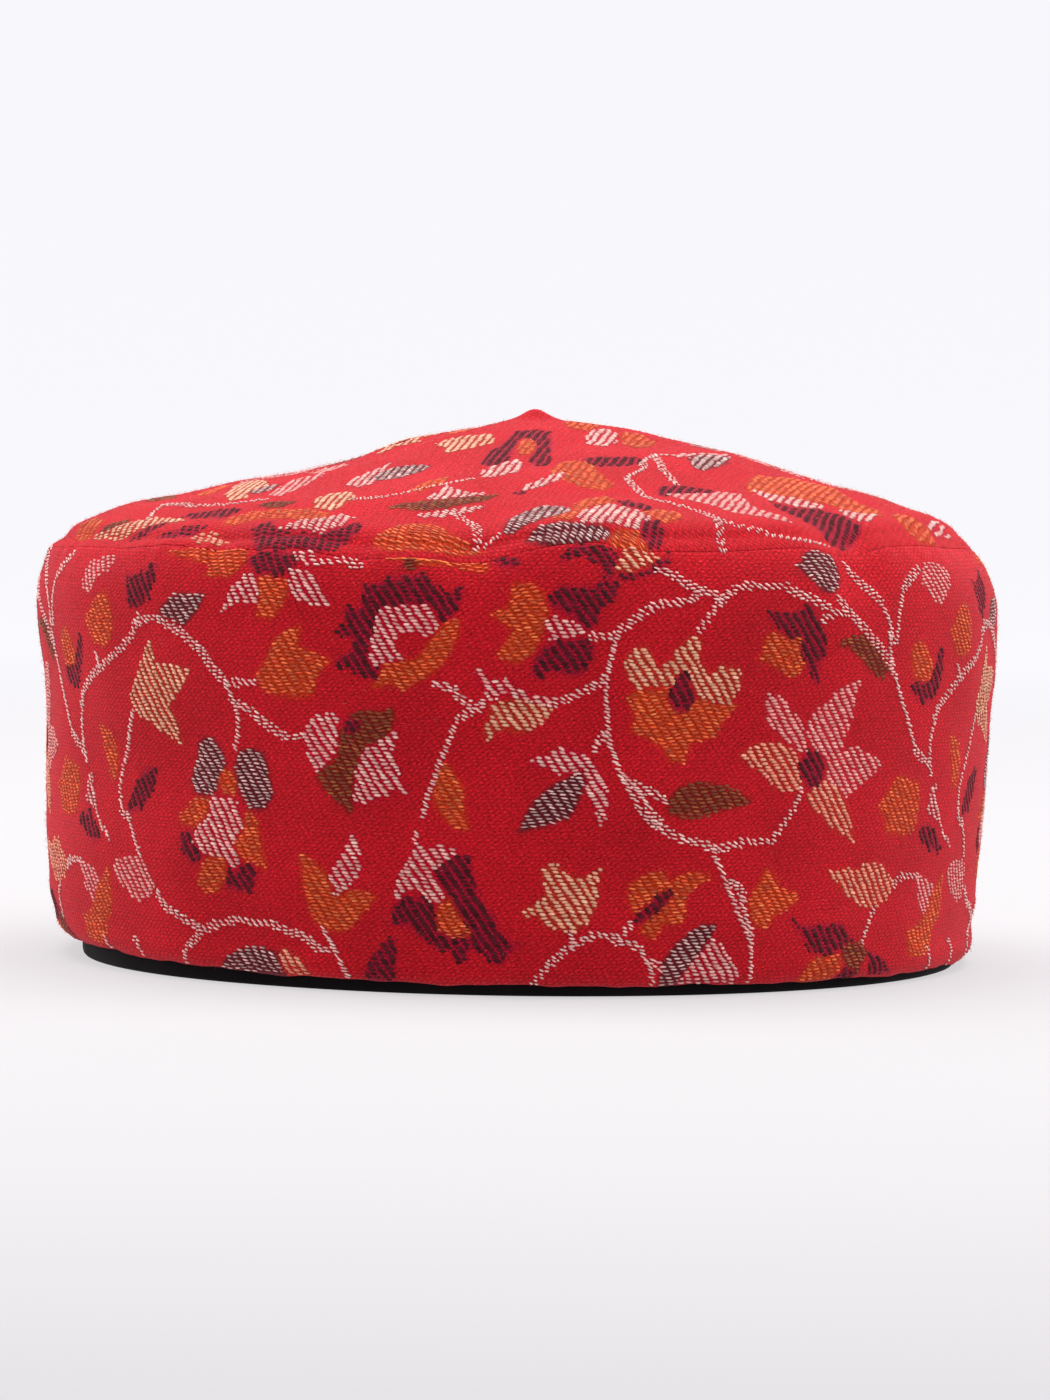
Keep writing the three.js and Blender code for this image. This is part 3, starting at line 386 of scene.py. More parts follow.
# stems, charted the same way
BAND_VINES = [
    [(-107.8, 53), (-105.4, 56), (-100.7, 58.9), (-96, 61.4), (-92.7, 63.3), (-89.3, 65), (-85.7, 67.2), (-84.1, 69.7), (-79.3, 71.4), (-75.4, 70.6), (-72.1, 69.4), (-68.8, 67.2), (-66, 65.3), (-63.2, 62.2), (-59.9, 58.9), (-57.7, 55.6), (-53.8, 53.9), (-50.4, 51.7), (-48.2, 50.3), (-44.7, 49.3), (-42.4, 49.6)],
    [(-97.4, 61), (-98.6, 62.8), (-99, 63.4)],
    [(-84.3, 70), (-82.5, 71.5)],
    [(-59.6, 59.2), (-56, 59.4), (-52.8, 59.4)],
    [(-57.2, 54.5), (-57, 50.5), (-57.8, 47.6), (-58.6, 46)],
    [(-85.7, 53.3), (-87.1, 50.6), (-88.2, 47.2), (-90.2, 42.8), (-92.4, 38.2), (-91.6, 33.2), (-88.8, 31), (-86, 27.1), (-84.3, 24.6)],
    [(-79.3, 16.8), (-76.6, 14.1), (-72.7, 12.7), (-69.9, 11.6), (-67.7, 10.4), (-64.9, 11.6), (-60.4, 12.4), (-54.9, 12.7), (-49.3, 12.4), (-46, 11.3), (-42.4, 9.9), (-39.5, 7.9), (-37, 7.6)],
    [(-38.8, 12), (-36.9, 8.8), (-34.7, 5.4), (-33.3, 1.4)],
    [(-68, 10.4), (-71, 7.7), (-72.7, 6), (-74.3, 2.2)],
    [(-89.2, 7.2), (-87.8, 6), (-87.6, 2.2)],
    [(-101.8, 7.1), (-100.1, 4.3), (-99.4, 2)],
    [(100, 56), (98.4, 52.6), (97.4, 48.6), (97.6, 45), (98.8, 41.5)],
    [(-40, 82.8), (-36.5, 83.3), (-33.4, 82.9), (-31, 82.6)],
    [(-15.5, 60.3), (-12.4, 59.7), (-10.8, 57.8), (-8, 56.1), (-6.3, 56.7)],
    [(-6.3, 56.1), (-9.7, 54.7), (-11.9, 52.2), (-13, 48.9), (-14.4, 45.6), (-15.8, 41), (-16.9, 38.2), (-17.7, 34.9)],
    [(-19.1, 31.8), (-19.4, 29.9)],
    [(27, 82.8), (30, 81.7), (33.3, 80), (36.2, 78.6), (39.4, 77.8)],
    [(13.8, 69.6), (18.2, 70.2), (19.6, 71.4), (22.8, 73.4), (26.2, 75.4), (30, 76.4), (33.8, 77.2), (35.4, 78.4)],
    [(18.8, 69.8), (18, 66.2), (17.3, 62.2), (17.2, 58.2), (17.7, 54.4), (18, 51)],
    [(17, 61.6), (14, 59.6), (10, 58), (6.4, 57)],
    [(34.6, 70.9), (36.8, 73.6), (38.9, 76), (41.2, 78), (44.4, 79.2), (48.4, 79.5), (51.4, 80), (54.8, 79.3), (58, 77.8), (61.4, 76.4), (64, 75.4)],
    [(18, 51), (16.4, 50), (15, 47.4)],
    [(17, 50.2), (18.5, 48.6), (19.5, 45.6), (20.2, 43.6), (22.2, 40), (24.4, 36.6), (26.7, 34.3), (29, 32.7), (31.8, 31.4), (35.6, 30.4), (39.4, 29.3), (41.2, 26), (43.3, 22.2), (45.1, 18.2), (47.3, 13.8), (49.2, 9.9), (49.5, 6.5), (50, 1.6)],
    [(21, 42.6), (23.6, 41), (26.4, 39.8), (29.4, 38.4)],
    [(22.8, 41.4), (24.8, 38.6), (26.6, 36), (28.6, 33.8)],
    [(44.2, 22.4), (46, 21), (47.6, 19)],
    [(46.4, 19), (47.6, 16), (48.8, 13), (49.4, 10)],
    [(39.6, 29.2), (42.8, 29), (46.8, 29.8), (50, 30.2), (52.4, 30), (54.2, 31.6), (56.4, 34.4), (58.4, 37.4), (59.6, 39.6)],
    [(3.6, 1.4), (4.4, 2.8), (6.6, 6), (8.4, 7.8), (10.4, 9.6), (13.4, 11), (16.6, 12), (19.4, 11.8), (21.8, 10.6), (24.6, 10.2), (26.4, 8), (27.8, 5.4), (28.8, 1.4)],
    [(11.2, 13.2), (11.7, 10.4)],
    [(20.6, 11.8), (22, 13), (23.4, 15)],
    [(27.6, 7.4), (29, 6.4), (30.4, 5.6)],
    [(66.8, 77.4), (68.6, 75.3), (71.4, 72.8), (74.2, 70.6), (77, 68.4), (79.7, 66), (82, 63.2), (84.2, 60.4), (86.4, 56.6), (89.2, 52.2), (91.4, 47.8), (94.2, 45.2), (97, 44)],
    [(62.2, 72.8), (64.6, 73.8), (68, 74)],
    [(70.8, 84.4), (72.4, 82), (75.8, 79), (78.6, 76.2), (80.3, 73), (81.6, 70)],
    [(80.6, 69.4), (82.6, 68.6), (83.4, 71), (83.8, 74), (85, 77), (87, 79.6), (90.4, 82), (93, 83.4)],
    [(80.6, 70), (81.2, 67), (82.4, 63.6)],
    [(88, 19.8), (90.4, 21.4), (93.4, 22), (97, 21.6)],
    [(81.6, 15.6), (80.2, 13.6), (79.4, 11), (78.6, 9)],
]

# The crown's panel, charted from above: x to the right, y to the back. The
# half away from the front repeats the front half, turned half round.
CROWN_MOTIFS = [
    ("O", [(45.5, -49), (46, -38), (48, -30), (52, -27), (55, -20), (60, -18), (64, -22), (65, -32), (68, -38), (72.5, -40), (73, -47), (69, -50), (62, -49), (57, -50), (52, -51)]),
    ("W", [(46.5, -46), (50, -48), (56, -50), (61, -51), (60, -54), (55, -56.5), (50, -55), (47.5, -51)]),
    ("W", [(64, -50), (68, -50), (72, -46), (71, -53), (68, -58), (65, -56), (63.5, -53)]),
    ("M", [(50, -56), (54, -57.5), (60, -54), (64, -56), (68, -59), (67.5, -62), (64, -69), (61, -69), (57, -65), (54, -63), (51, -60)]),
    ("M", [(27, -62), (28, -57), (32, -54), (38, -53), (40, -56), (36, -60), (31, -62), (28, -65)]),
    ("P", [(29, -62), (33, -60), (38, -56), (40, -53), (44, -53), (45, -60), (47, -65), (52, -68), (53, -72), (50, -73), (45, -72), (40, -70), (35, -67), (31, -65)]),
    ("M", [(12, -45), (13, -41), (17, -39), (21, -37), (24, -37), (24.5, -41), (21, -45), (17, -47), (13, -48)]),
    ("W", [(31, -34), (32.5, -28), (36, -24), (40, -18), (43, -13), (43.5, -17), (40, -20), (36, -26), (33.5, -31)]),
    ("G", [(34, -32), (36, -26), (40, -20), (43, -18), (42.5, -26), (40, -33), (37, -39), (35, -38)]),
    ("W", [(13, -27), (13.5, -20), (15, -14), (18, -11), (20, -15), (20, -22), (18, -27), (15, -28)]),
    ("O", [(9.4, -5), (12, -2), (17, -4), (16, -10), (14, -16), (10, -13)]),
    ("O", [(21, -10), (25, -8), (28, -14), (27, -22), (24, -27), (21, -22)]),
    ("M", [(-1, -19), (3, -17), (6.4, -19), (6.7, -28), (6.4, -38), (6, -48), (3, -50), (2, -44), (3.4, -36), (3, -28), (0, -26), (-1, -34), (-2, -44), (-5, -50), (-8, -47), (-6, -38), (-3, -28)]),
    ("O", [(-0.4, -39), (0, -30), (1.6, -25), (3.3, -28), (3, -36), (1.6, -40)]),
    ("W", [(-8, -54), (-6, -50), (-3, -46), (0, -43), (1, -48), (0, -54), (-4, -58), (-7, -58)]),
    ("O", [(6, -53), (8, -46), (12, -43), (15, -47), (16, -53), (19, -60), (17, -65), (12, -64), (9, -60), (7, -58)]),
    ("W", [(-1, -69), (1, -65), (4, -61), (6, -57), (9, -54), (9, -58), (7, -62), (4, -66), (1, -69)]),
    ("M", [(-1.6, -70), (0.2, -68), (1.6, -69.4), (0, -71)]),
    # flower at the front edge
    ("O", [(10, -83), (10.5, -77), (13, -72), (17, -69), (19, -72), (18, -75), (14, -78), (12, -83)]),
    ("M", [(19, -72), (22, -71), (26, -75), (25.5, -78), (22, -77), (20, -75)]),
    ("W", [(11, -88), (12, -83), (14, -79), (18, -75), (21, -77), (24, -79), (26, -85), (23, -89), (18, -89), (15, -90.5), (12, -91)]),
    ("O", [(24, -79), (27, -76), (31, -77), (32, -81), (29, -85), (26, -84)]),
    ("G", [(-3, -91), (-2, -86), (2, -81), (5, -78), (9, -79), (10, -83), (7, -87), (2, -90), (-1, -92)]),
    ("O", [(6, -89), (7, -87), (10, -83), (11.6, -84), (11, -88), (10, -90)]),
    ("G", [(1, -94), (4, -91), (9, -90.5), (13, -91), (17.5, -90.5), (18, -93), (14, -95), (6, -96)]),
    ("O", [(17, -93), (19, -90), (23, -89), (26, -92), (24, -94), (19, -95)]),
    ("M", [(23.4, -90), (24, -86), (27, -84), (28, -87), (27.6, -91), (25.4, -92)]),
    ("O", [(75, -44), (76, -38), (79, -34), (83, -38), (84, -44), (80, -50), (77, -49)]),
    ("W", [(82, -36), (83, -28), (86, -23), (88, -28), (86, -34), (84, -38)]),
    # left part
    ("C", [(-17.5, -23), (-14, -20), (-9.5, -20), (-5.5, -22.5), (-5.5, -30), (-9, -32.5), (-12.5, -33.5), (-15, -35), (-15, -29)]),
    ("W", [(-35, -50.5), (-33.5, -44.5), (-31, -41.5), (-28.5, -39), (-25.5, -33.5), (-27, -42), (-28.5, -47), (-29, -53.5), (-32, -54.5)]),
    ("G", [(-30.5, -48.5), (-28, -43), (-25, -40.5), (-21, -41), (-17.5, -43.5), (-20, -48.5), (-23.5, -51), (-27.5, -51)]),
    ("W", [(-18.5, -72), (-16, -68), (-14.5, -63), (-12, -65.5), (-9.5, -68), (-6, -69.5), (-8.5, -71.5), (-13, -72.5), (-15.5, -74.5)]),
    ("W", [(-20, -80), (-16.5, -79.5), (-12.5, -78), (-6.5, -77), (-8.5, -80), (-12.5, -81), (-15, -82.5), (-18, -82)]),
    ("V", [(-26.5, -75), (-23, -74), (-17.5, -73.5), (-13, -72), (-8, -70.5), (-4, -70.5), (-6, -74), (-10.5, -76), (-14.5, -78), (-19, -78.5), (-22.5, -77)]),
    ("O", [(-28, -88.5), (-26, -86.5), (-22.5, -85), (-19, -85), (-16, -86), (-13.5, -89.5), (-9, -92.6), (-6, -94), (-12, -94), (-17, -93), (-22, -92), (-26, -91)]),
    ("O", [(-21.5, -65.5), (-19.5, -60.5), (-16.5, -57), (-14, -55), (-14.5, -60.5), (-17, -64), (-19.5, -67.5)]),
    ("M", [(-52, -75), (-48, -74), (-47, -79), (-44, -82), (-38, -84.5), (-33, -83), (-31, -81), (-30, -85), (-34, -88), (-40, -88.5), (-46, -86), (-51, -82)]),
    ("W", [(-47, -79), (-42, -78), (-38, -78), (-34, -76), (-31.5, -79), (-34, -83), (-38, -84), (-43, -82)]),
    ("O", [(-58, -69.5), (-57.5, -65.5), (-54.5, -64), (-51.5, -64), (-47, -66), (-41.5, -70), (-37, -74.5), (-36.5, -78), (-41, -78), (-46.5, -74), (-51, -70), (-54.5, -71)]),
    ("C", [(-40.5, -69.5), (-40, -62.5), (-37.5, -58.5), (-33.5, -60), (-32, -66), (-34, -71.5), (-36.5, -73.5), (-39, -71.5)]),
    ("C", [(-86, -38.5), (-83, -42), (-80, -44), (-75.5, -45.5), (-72.5, -47), (-70.5, -51), (-67, -54.5), (-66, -59), (-70, -56.5), (-73.5, -54), (-76, -52.5), (-79, -51), (-82.5, -46), (-85, -42.5)]),
    ("V", [(-84.5, -40), (-82.5, -38.5), (-80, -40), (-77.5, -41), (-78.5, -43.5), (-81.5, -43)]),
    ("M", [(-78, -53), (-75, -53.5), (-73, -54), (-69.5, -56), (-71, -58), (-74.5, -57)]),
    ("M", [(-72, -61), (-69, -62.5), (-66, -64.5), (-61, -68), (-63, -69.5), (-67.5, -66.5), (-70, -64)]),
    ("M", [(-67, -53.5), (-65, -52.5), (-61, -55), (-57, -57), (-54.5, -60.5), (-57, -63.5), (-59, -64.5), (-61.5, -60.5), (-64.5, -58)]),
    ("S", [(-65, -69.5), (-62, -69), (-58.5, -72), (-56, -76), (-58.5, -76), (-62.5, -72.5)]),
    ("V", [(-52, -60), (-49.5, -59), (-46.5, -60), (-43.5, -63), (-46, -65), (-49, -64)]),
    ("G", [(-54.5, -41.5), (-51.5, -38), (-48, -38), (-49.5, -43), (-52.5, -45)]),
    ("C", [(-59, -42), (-58.5, -27), (-56.5, -18), (-52, -25), (-50.5, -37), (-54, -41), (-54.5, -49), (-57.5, -49)]),
    ("P", [(-50, -50), (-48, -41), (-45, -36), (-39, -34), (-40, -38), (-42.5, -44), (-45, -49), (-47.5, -54)]),
    ("P", [(-43, -30), (-40, -22), (-36, -18), (-35, -22), (-37, -29), (-40, -34)]),
    ("O", [(-66, -28), (-64, -16), (-61, -8), (-59, -14), (-61, -24), (-63, -32)]),
    ("V", [(-76.5, -18), (-76, -8), (-72, -4), (-70.5, -14), (-71, -24), (-74, -24)]),
    ("O", [(-90, -27), (-89, -20), (-86.5, -20), (-84, -32), (-85.5, -38), (-88, -37), (-89.5, -32)]),
]
CROWN_VINES = [
    [(27.2, -34), (25, -40), (24.4, -46), (22, -52), (21.5, -56), (23, -60), (24, -64), (27, -68), (31, -71), (35, -74), (38.5, -77.5), (42, -79.5), (47, -79), (52, -77.5), (57, -74.5), (60.5, -71)],
    [(27.2, -34), (28, -40), (29, -46), (30.5, -50), (31, -54)],
    [(38.5, -78), (39, -82), (39.5, -87)],
    [(27.2, -34), (30, -32), (33, -31)],
    [(-12.5, -81), (-10, -84.5), (-8.5, -87), (-8, -89.5), (-8, -92.5)],
    [(-8, -92.5), (-5.5, -92.2), (-3, -91)],
    [(-32.5, -67.5), (-29, -68), (-25.5, -68), (-22.5, -67), (-18, -64), (-14.5, -62), (-11.5, -59.5), (-9, -58.6)],
    [(-71.5, -36), (-73, -41), (-74, -46)],
    [(-71.5, -36), (-68, -42), (-65.5, -46.5), (-60.5, -50.5), (-55, -54), (-50, -56)],
    [(-57, -18), (-52, -14), (-46, -14), (-40, -18)],
]



def star(x, y, outer, inner, points, turn):
    """a flower outline: points petals between two radii, first petal at turn degrees"""
    return [(x + (inner if k % 2 else outer) * math.cos(math.radians(turn + 180 * k / points)),
             y + (inner if k % 2 else outer) * math.sin(math.radians(turn + 180 * k / points))) for k in range(2 * points)]


def leaf(x, y, length, width, turn):
    """a leaf outline, fuller at one end, its long way at turn degrees"""
    c, s = math.cos(math.radians(turn)), math.sin(math.radians(turn))
    rim = [(length / 2 * math.cos(a), width / 2 * math.sin(a) * (1 - 0.3 * math.cos(a))) for a in np.radians(np.arange(0, 360, 30))]
    return [(x + u * c - v * s, y + u * s + v * c) for u, v in rim]


# the crown's middle, seen only from above, carries on in the same manner
CROWN_MIDDLE = [
    ("P", star(53, -5, 9.5, 4.2, 5, 20)), ("M", star(53, -5, 2.8, 2.2, 6, 0)), ("G", leaf(39, -5, 10, 5, 60)),
    ("O", leaf(73, -6, 12, 7, 15)), ("S", leaf(84, -7, 9, 5, 70)), ("C", star(-24, -8, 8, 3.6, 5, 10)),
    ("M", leaf(-24, -8, 4, 3, 30)), ("O", leaf(-12, -8, 8, 4.5, 40)), ("G", leaf(-36, -8, 9, 5, -20)), ("W", leaf(-48, -8, 10, 5, 30)),
]
CROWN_VINES += [
    [(29, -5), (34, 0), (41, 2.5), (47, 0)],
    [(60, -9), (66, -12), (73, -12), (80, -13)],
    [(-5, -5), (-13, -3), (-20, 0.5), (-30, 0), (-40, -3), (-50, -3), (-57, -5)],
]

CODES = {c: i + 1 for i, c in enumerate("WPCSOVGMT")}     # T: the stems' thread
CELL = 0.25


class Chart:
    """which colour of thread covers each place of a flat piece of cloth"""

    def __init__(self, x0, x1, y0, y1):
        self.x0, self.y0 = x0, y0
        self.map = np.zeros((int(math.ceil((y1 - y0) / CELL)), int(round((x1 - x0) / CELL))), np.uint8)

    def paint(self, code, outline):
        ring = np.asarray(outline, float)
        h, w = self.map.shape
        lo = np.floor((ring.min(0) - (self.x0, self.y0)) / CELL).astype(int)
        hi = np.ceil((ring.max(0) - (self.x0, self.y0)) / CELL).astype(int)
        i0, i1, j0, j1 = max(lo[0], 0), min(hi[0], w), max(lo[1], 0), min(hi[1], h)
        if i1 <= i0 or j1 <= j0:
            return
        x = self.x0 + (np.arange(i0, i1) + 0.5) * CELL
        y = self.y0 + (np.arange(j0, j1) + 0.5) * CELL
        x, y = np.meshgrid(x, y)
        inside = np.zeros(x.shape, bool)
        for (ax, ay), (bx, by) in zip(ring, np.roll(ring, -1, 0)):
            if ay == by:
                continue
            inside ^= ((ay > y) != (by > y)) & (x < (bx - ax) * (y - ay) / (by - ay) + ax)
        self.map[j0:j1, i0:i1][inside] = code

    def at(self, x, y, wrap=None):
        if wrap:
            x = np.mod(x - self.x0, wrap) + self.x0
        i = np.floor((x - self.x0) / CELL).astype(int)
        j = np.floor((y - self.y0) / CELL).astype(int)
        ok = (i >= 0) & (i < self.map.shape[1]) & (j >= 0) & (j < self.map.shape[0])
        return np.where(ok, self.map[np.clip(j, 0, self.map.shape[0] - 1), np.clip(i, 0, self.map.shape[1] - 1)], 0)


AROUND = 3 * REPEAT
band_chart = Chart(-AROUND / 2, AROUND / 2, -2, 92)
for colour, outline, copies in BAND_MOTIFS:
    for c in copies:
        for extra in (-AROUND, 0, AROUND):
            band_chart.paint(CODES[colour], [(x + c * REPEAT + extra, y) for x, y in outline])
crown_chart = Chart(-100, 100, -100, 100)
for turn in (1, -1):
    for colour, outline in CROWN_MIDDLE + CROWN_MOTIFS:
        crown_chart.paint(CODES[colour], [(turn * x, turn * y) for x, y in outline])

CROWN_TURN = math.radians(134)      # the crown's cloth lies turned by this against the band's


def to_cloth(x, y):
    c, s = math.cos(CROWN_TURN), math.sin(CROWN_TURN)
    return x * c + y * s, -x * s + y * c


def from_cloth(p, q):
    c, s = math.cos(CROWN_TURN), math.sin(CROWN_TURN)
    return p * c - q * s, p * s + q * c


def band_lookup(x, y):
    return band_chart.at(x, y, AROUND)


def crown_lookup(p, q):
    return crown_chart.at(*from_cloth(p, q))


# ------------------------------------------------------------------ threads
# all figuring threads share one grid: pitch along a row, pitch of the rows, shift from row to row
ALONG, ACROSS, STEP = 1.92, 0.69, 0.48
# colour: long, thick, high, tilt in degrees, ragged (how far the columns overrun a motif's edge)
LATTICE = {
    "W": dict(long=1.86, thick=0.60, high=0.20, tilt=-10, ragged=0.25),
    "P": dict(long=1.86, thick=0.60, high=0.17, tilt=-10, ragged=0.25),
    "C": dict(long=1.86, thick=0.66, high=0.19, tilt=-13, ragged=0.25),
    "S": dict(long=1.86, thick=0.64, high=0.17, tilt=-13, ragged=0.25),
    "O": dict(long=1.90, thick=0.44, high=0.15, tilt=-5, ragged=0.45),
    "V": dict(long=1.98, thick=0.44, high=0.13, tilt=-5, ragged=0.35),
    "G": dict(long=1.84, thick=0.41, high=0.17, tilt=-7, ragged=0.25),
    "M": dict(long=1.62, thick=0.68, high=0.05, tilt=-4, ragged=0.85),
    "T": dict(long=1.60, thick=0.46, high=0.22, tilt=-20, ragged=0.0),
}
SHADES = {
    "W": [(0.955, 0.665, 0.640), (0.905, 0.540, 0.525), (1.000, 0.830, 0.780)],
    "T": [(0.970, 0.725, 0.705), (0.930, 0.610, 0.600), (0.990, 0.850, 0.810)],
    "P": [(0.950, 0.610, 0.590), (0.900, 0.500, 0.490), (0.980, 0.720, 0.685)],
    "C": [(0.950, 0.665, 0.530), (0.890, 0.560, 0.420), (0.980, 0.775, 0.640)],
    "S": [(0.940, 0.585, 0.480), (0.890, 0.490, 0.370), (0.970, 0.695, 0.570)],
    "O": [(0.930, 0.360, 0.170), (0.840, 0.250, 0.100), (1.000, 0.530, 0.290)],
    "V": [(0.560, 0.265, 0.130), (0.430, 0.190, 0.095), (0.690, 0.400, 0.190)],
    "G": [(0.880, 0.710, 0.690), (0.760, 0.590, 0.580), (0.950, 0.800, 0.770)],
    "M": [(0.270, 0.080, 0.105), (0.200, 0.065, 0.080), (0.420, 0.090, 0.160)],
}
# what the ground shows between the floats of each colour (sRGB)
GROUND = {
    0: (0.705, 0.075, 0.120),
    CODES["W"]: (0.690, 0.050, 0.145),
    CODES["P"]: (0.720, 0.120, 0.170),
    CODES["C"]: (0.670, 0.160, 0.110),
    CODES["S"]: (0.700, 0.150, 0.120),
    CODES["O"]: (0.690, 0.190, 0.060),
    CODES["V"]: (0.450, 0.100, 0.060),
    CODES["G"]: (0.360, 0.095, 0.125),
    CODES["M"]: (0.580, 0.060, 0.160),
}


def linear(c):
    c = np.asarray(c, float)
    return np.where(c <= 0.04045, c / 12.92, ((c + 0.055) / 1.055) ** 2.4)


def sway(x, y):
    """how far the rows of thread wander off their straight line, and their slope there in degrees"""
    rise = slope = 0.0
    for amount, wave, lean, phase in ((0.20, 19.0, 0.11, 0.7), (0.13, 8.3, -0.17, 2.1), (0.06, 4.1, 0.31, 4.4)):
        k = 2 * math.pi / wave
        rise = rise + amount * np.sin(k * (x + lean * y * 4) + phase)
        slope = slope + amount * k * np.cos(k * (x + lean * y * 4) + phase)
    return rise, np.degrees(slope)


def figured(lookup, box, rand):
    """floats of every motif: colour code, place along and across the cloth, length, tilt, brightness"""
    x0, x1, y0, y1 = box
    out = []
    for colour, spec in LATTICE.items():
        code = CODES[colour]
        rows = np.arange(math.floor(y0 / ACROSS), math.ceil(y1 / ACROSS) + 1)
        cols = np.arange(math.floor(x0 / ALONG), math.ceil(x1 / ALONG))
        j, i = np.meshgrid(rows, cols, indexing="ij")
        j, i = j.ravel(), i.ravel()
        x = i * ALONG + np.mod(-j * STEP, ALONG)
        y = j * ACROSS
        # every leaning column of floats starts and stops a little early or late
        column = np.floor((x + j * STEP) / ALONG + 0.5).astype(int)
        late = rand.uniform(-1, 1, (512, 64)) * spec["ragged"]
        late = late[np.mod(column, 512), np.mod(np.floor(y / 5.0).astype(int), 64)]
        full = spec["long"] * rand.uniform(0.88, 1.08, x.shape)
        steps = np.linspace(-0.5, 0.5, 13)
        near = lookup(x, y + late) == code
        near |= lookup(x - 0.4 * full, y + late) == code
        near |= lookup(x + 0.4 * full, y + late) == code
        x, y, full, late, column = x[near], y[near], full[near], late[near], column[near]
        hit = lookup(x[:, None] + steps * full[:, None], (y + late)[:, None] + 0 * steps) == code
        best = np.zeros(len(x))
        start = np.zeros(len(x))
        run = np.zeros(len(x))
        for k in range(13):
            run = np.where(hit[:, k], run + 1, 0)
            better = run > best
            best = np.where(better, run, best)
            start = np.where(better, k - run + 1, start)
        keep = best >= 5
        middle = (start + (best - 1) / 2) / 12 - 0.5
        part = np.clip((best[keep] + 1.5) / 12.5, 0.5, 1)
        x, y, full = x[keep] + 0.8 * middle[keep] * full[keep], y[keep], full[keep]
        rise, slope = sway(x, y)
        n = len(x)
        # threads differ in brightness from row to row and along each row
        bright = rand.uniform(*((0.58, 1.24) if colour in "OVG" else (0.80, 1.08)), n) * (0.90 + 0.20 * rand.random(4096)[np.mod(np.round(y * 7).astype(int), 4096)])
        out.append((np.full(n, code), x + rand.normal(0, 0.07, n), y + rise + rand.normal(0, 0.045, n),
                    full * part, spec["tilt"] + slope + rand.normal(0, 4.0, n), bright))
    return [np.concatenate(c) for c in zip(*out)]


def stem(line):
    """a smooth line through hand-set points, in steps of 0.1 mm"""
    p = np.asarray(line, float)
    if len(p) == 2:
        p = np.array([p[0], (p[0] + p[1]) / 2, p[1]])
    q = np.vstack([2 * p[0] - p[1], p, 2 * p[-1] - p[-2]])
    # a smooth line through given points, in steps of 0.1 mm
    pts = []
    for a, b, c, d in zip(q, q[1:], q[2:], q[3:]):
        n = max(int(np.linalg.norm(c - b) / 0.1), 1)
        t = np.linspace(0, 1, n, endpoint=False)[:, None]
        pts.append(0.5 * (2 * b + (c - a) * t + (2 * a - 5 * b + 4 * c - d) * t ** 2 + (3 * b - a - 3 * c + d) * t ** 3))
    return np.vstack(pts + [p[-1:]])


def stems(lines, rand):
    """floats along each stem: on every row that it crosses, one short slanting float or a staggered run of them"""
    out = []
    row = ACROSS
    for line in lines:
        s = stem(line)
        for j in range(int(math.floor((s[:, 1].min() - 0.4) / row)), int(math.ceil((s[:, 1].max() + 0.4) / row)) + 1):
            near = np.nonzero(np.abs(s[:, 1] - j * row) < 0.72)[0]
            if not len(near):
                continue
            for group in np.split(near, np.nonzero(np.diff(near) > 1)[0] + 1):
                if len(group) < 4:
                    continue
                # stems that lean like the floats themselves carry wider ones
                run, climb = s[group[-1]] - s[group[0]]
                wide = min(max(-run / (climb if abs(climb) > 0.05 else 9.0), 0.0), 1.0)
                against = min(max(run / (climb if abs(climb) > 0.05 else 9.0), 0.0), 1.0)
                pad = 0.58 + 0.20 * wide
                lo, hi = s[group, 0].min() - pad, s[group, 0].max() + pad
                if hi - lo < 2.0 + 0.7 * wide:
                    side = 0.16 if j % 2 else -0.16
                    out.append(((lo + hi) / 2 + side, j * row, min(max(hi - lo, 1.15), 1.5 + 0.45 * wide), -23 + rand.normal(0, 10)))
                    continue
                n = max(2, int(round((hi - lo) / 1.48)))
                pitch = (hi - lo) / n
                shift = (j % 2) * 0.5
                for k in range(n + (1 if shift else 0)):
                    a, b = max(lo, lo + (k - shift) * pitch), min(hi, lo + (k + 1 - shift) * pitch)
                    if b - a > 0.62:
                        out.append(((a + b) / 2, j * row, b - a + 0.05, -12 - 14 * against + rand.normal(0, 6)))
    x, y, length, tilt = np.array(out).T
    n = len(x)
    rise, slope = sway(x, y)
    return (np.full(n, CODES["T"]), x + rand.normal(0, 0.08, n), y + rise + rand.normal(0, 0.05, n),
            length * rand.uniform(0.98, 1.20, n), tilt + slope, rand.uniform(0.80, 1.18, n))


# ------------------------------------------------------------------ meshes
TRIANGLES = {}


def make_mesh(name, verts, faces, smooth=True):
    """verts in millimetres; faces is an array of triangles or quads"""
    me = bpy.data.meshes.new(name)
    verts = np.asarray(verts, np.float64) * 0.001
    faces = [np.asarray(f, np.int32) for f in (faces if isinstance(faces, list) else [faces])]
    loops = np.concatenate([f.ravel() for f in faces])
    totals = np.concatenate([np.full(len(f), f.shape[1], np.int32) for f in faces])
    me.vertices.add(len(verts))
    me.vertices.foreach_set("co", verts.astype(np.float32).ravel())
    me.loops.add(len(loops))
    me.loops.foreach_set("vertex_index", loops)
    me.polygons.add(len(totals))
    me.polygons.foreach_set("loop_start", np.concatenate([[0], np.cumsum(totals)[:-1]]).astype(np.int32))
    me.polygons.foreach_set("loop_total", totals)
    me.polygons.foreach_set("use_smooth", np.full(len(totals), smooth))
    me.update()
    me.validate()
    ob = bpy.data.objects.new(name, me)
    bpy.context.scene.collection.objects.link(ob)
    TRIANGLES[name] = int((totals - 2).sum())
    return ob


def set_uv(ob, name, per_loop):
    layer = ob.data.uv_layers.new(name=name)
    layer.data.foreach_set("uv", np.asarray(per_loop, np.float32).ravel())
    return layer


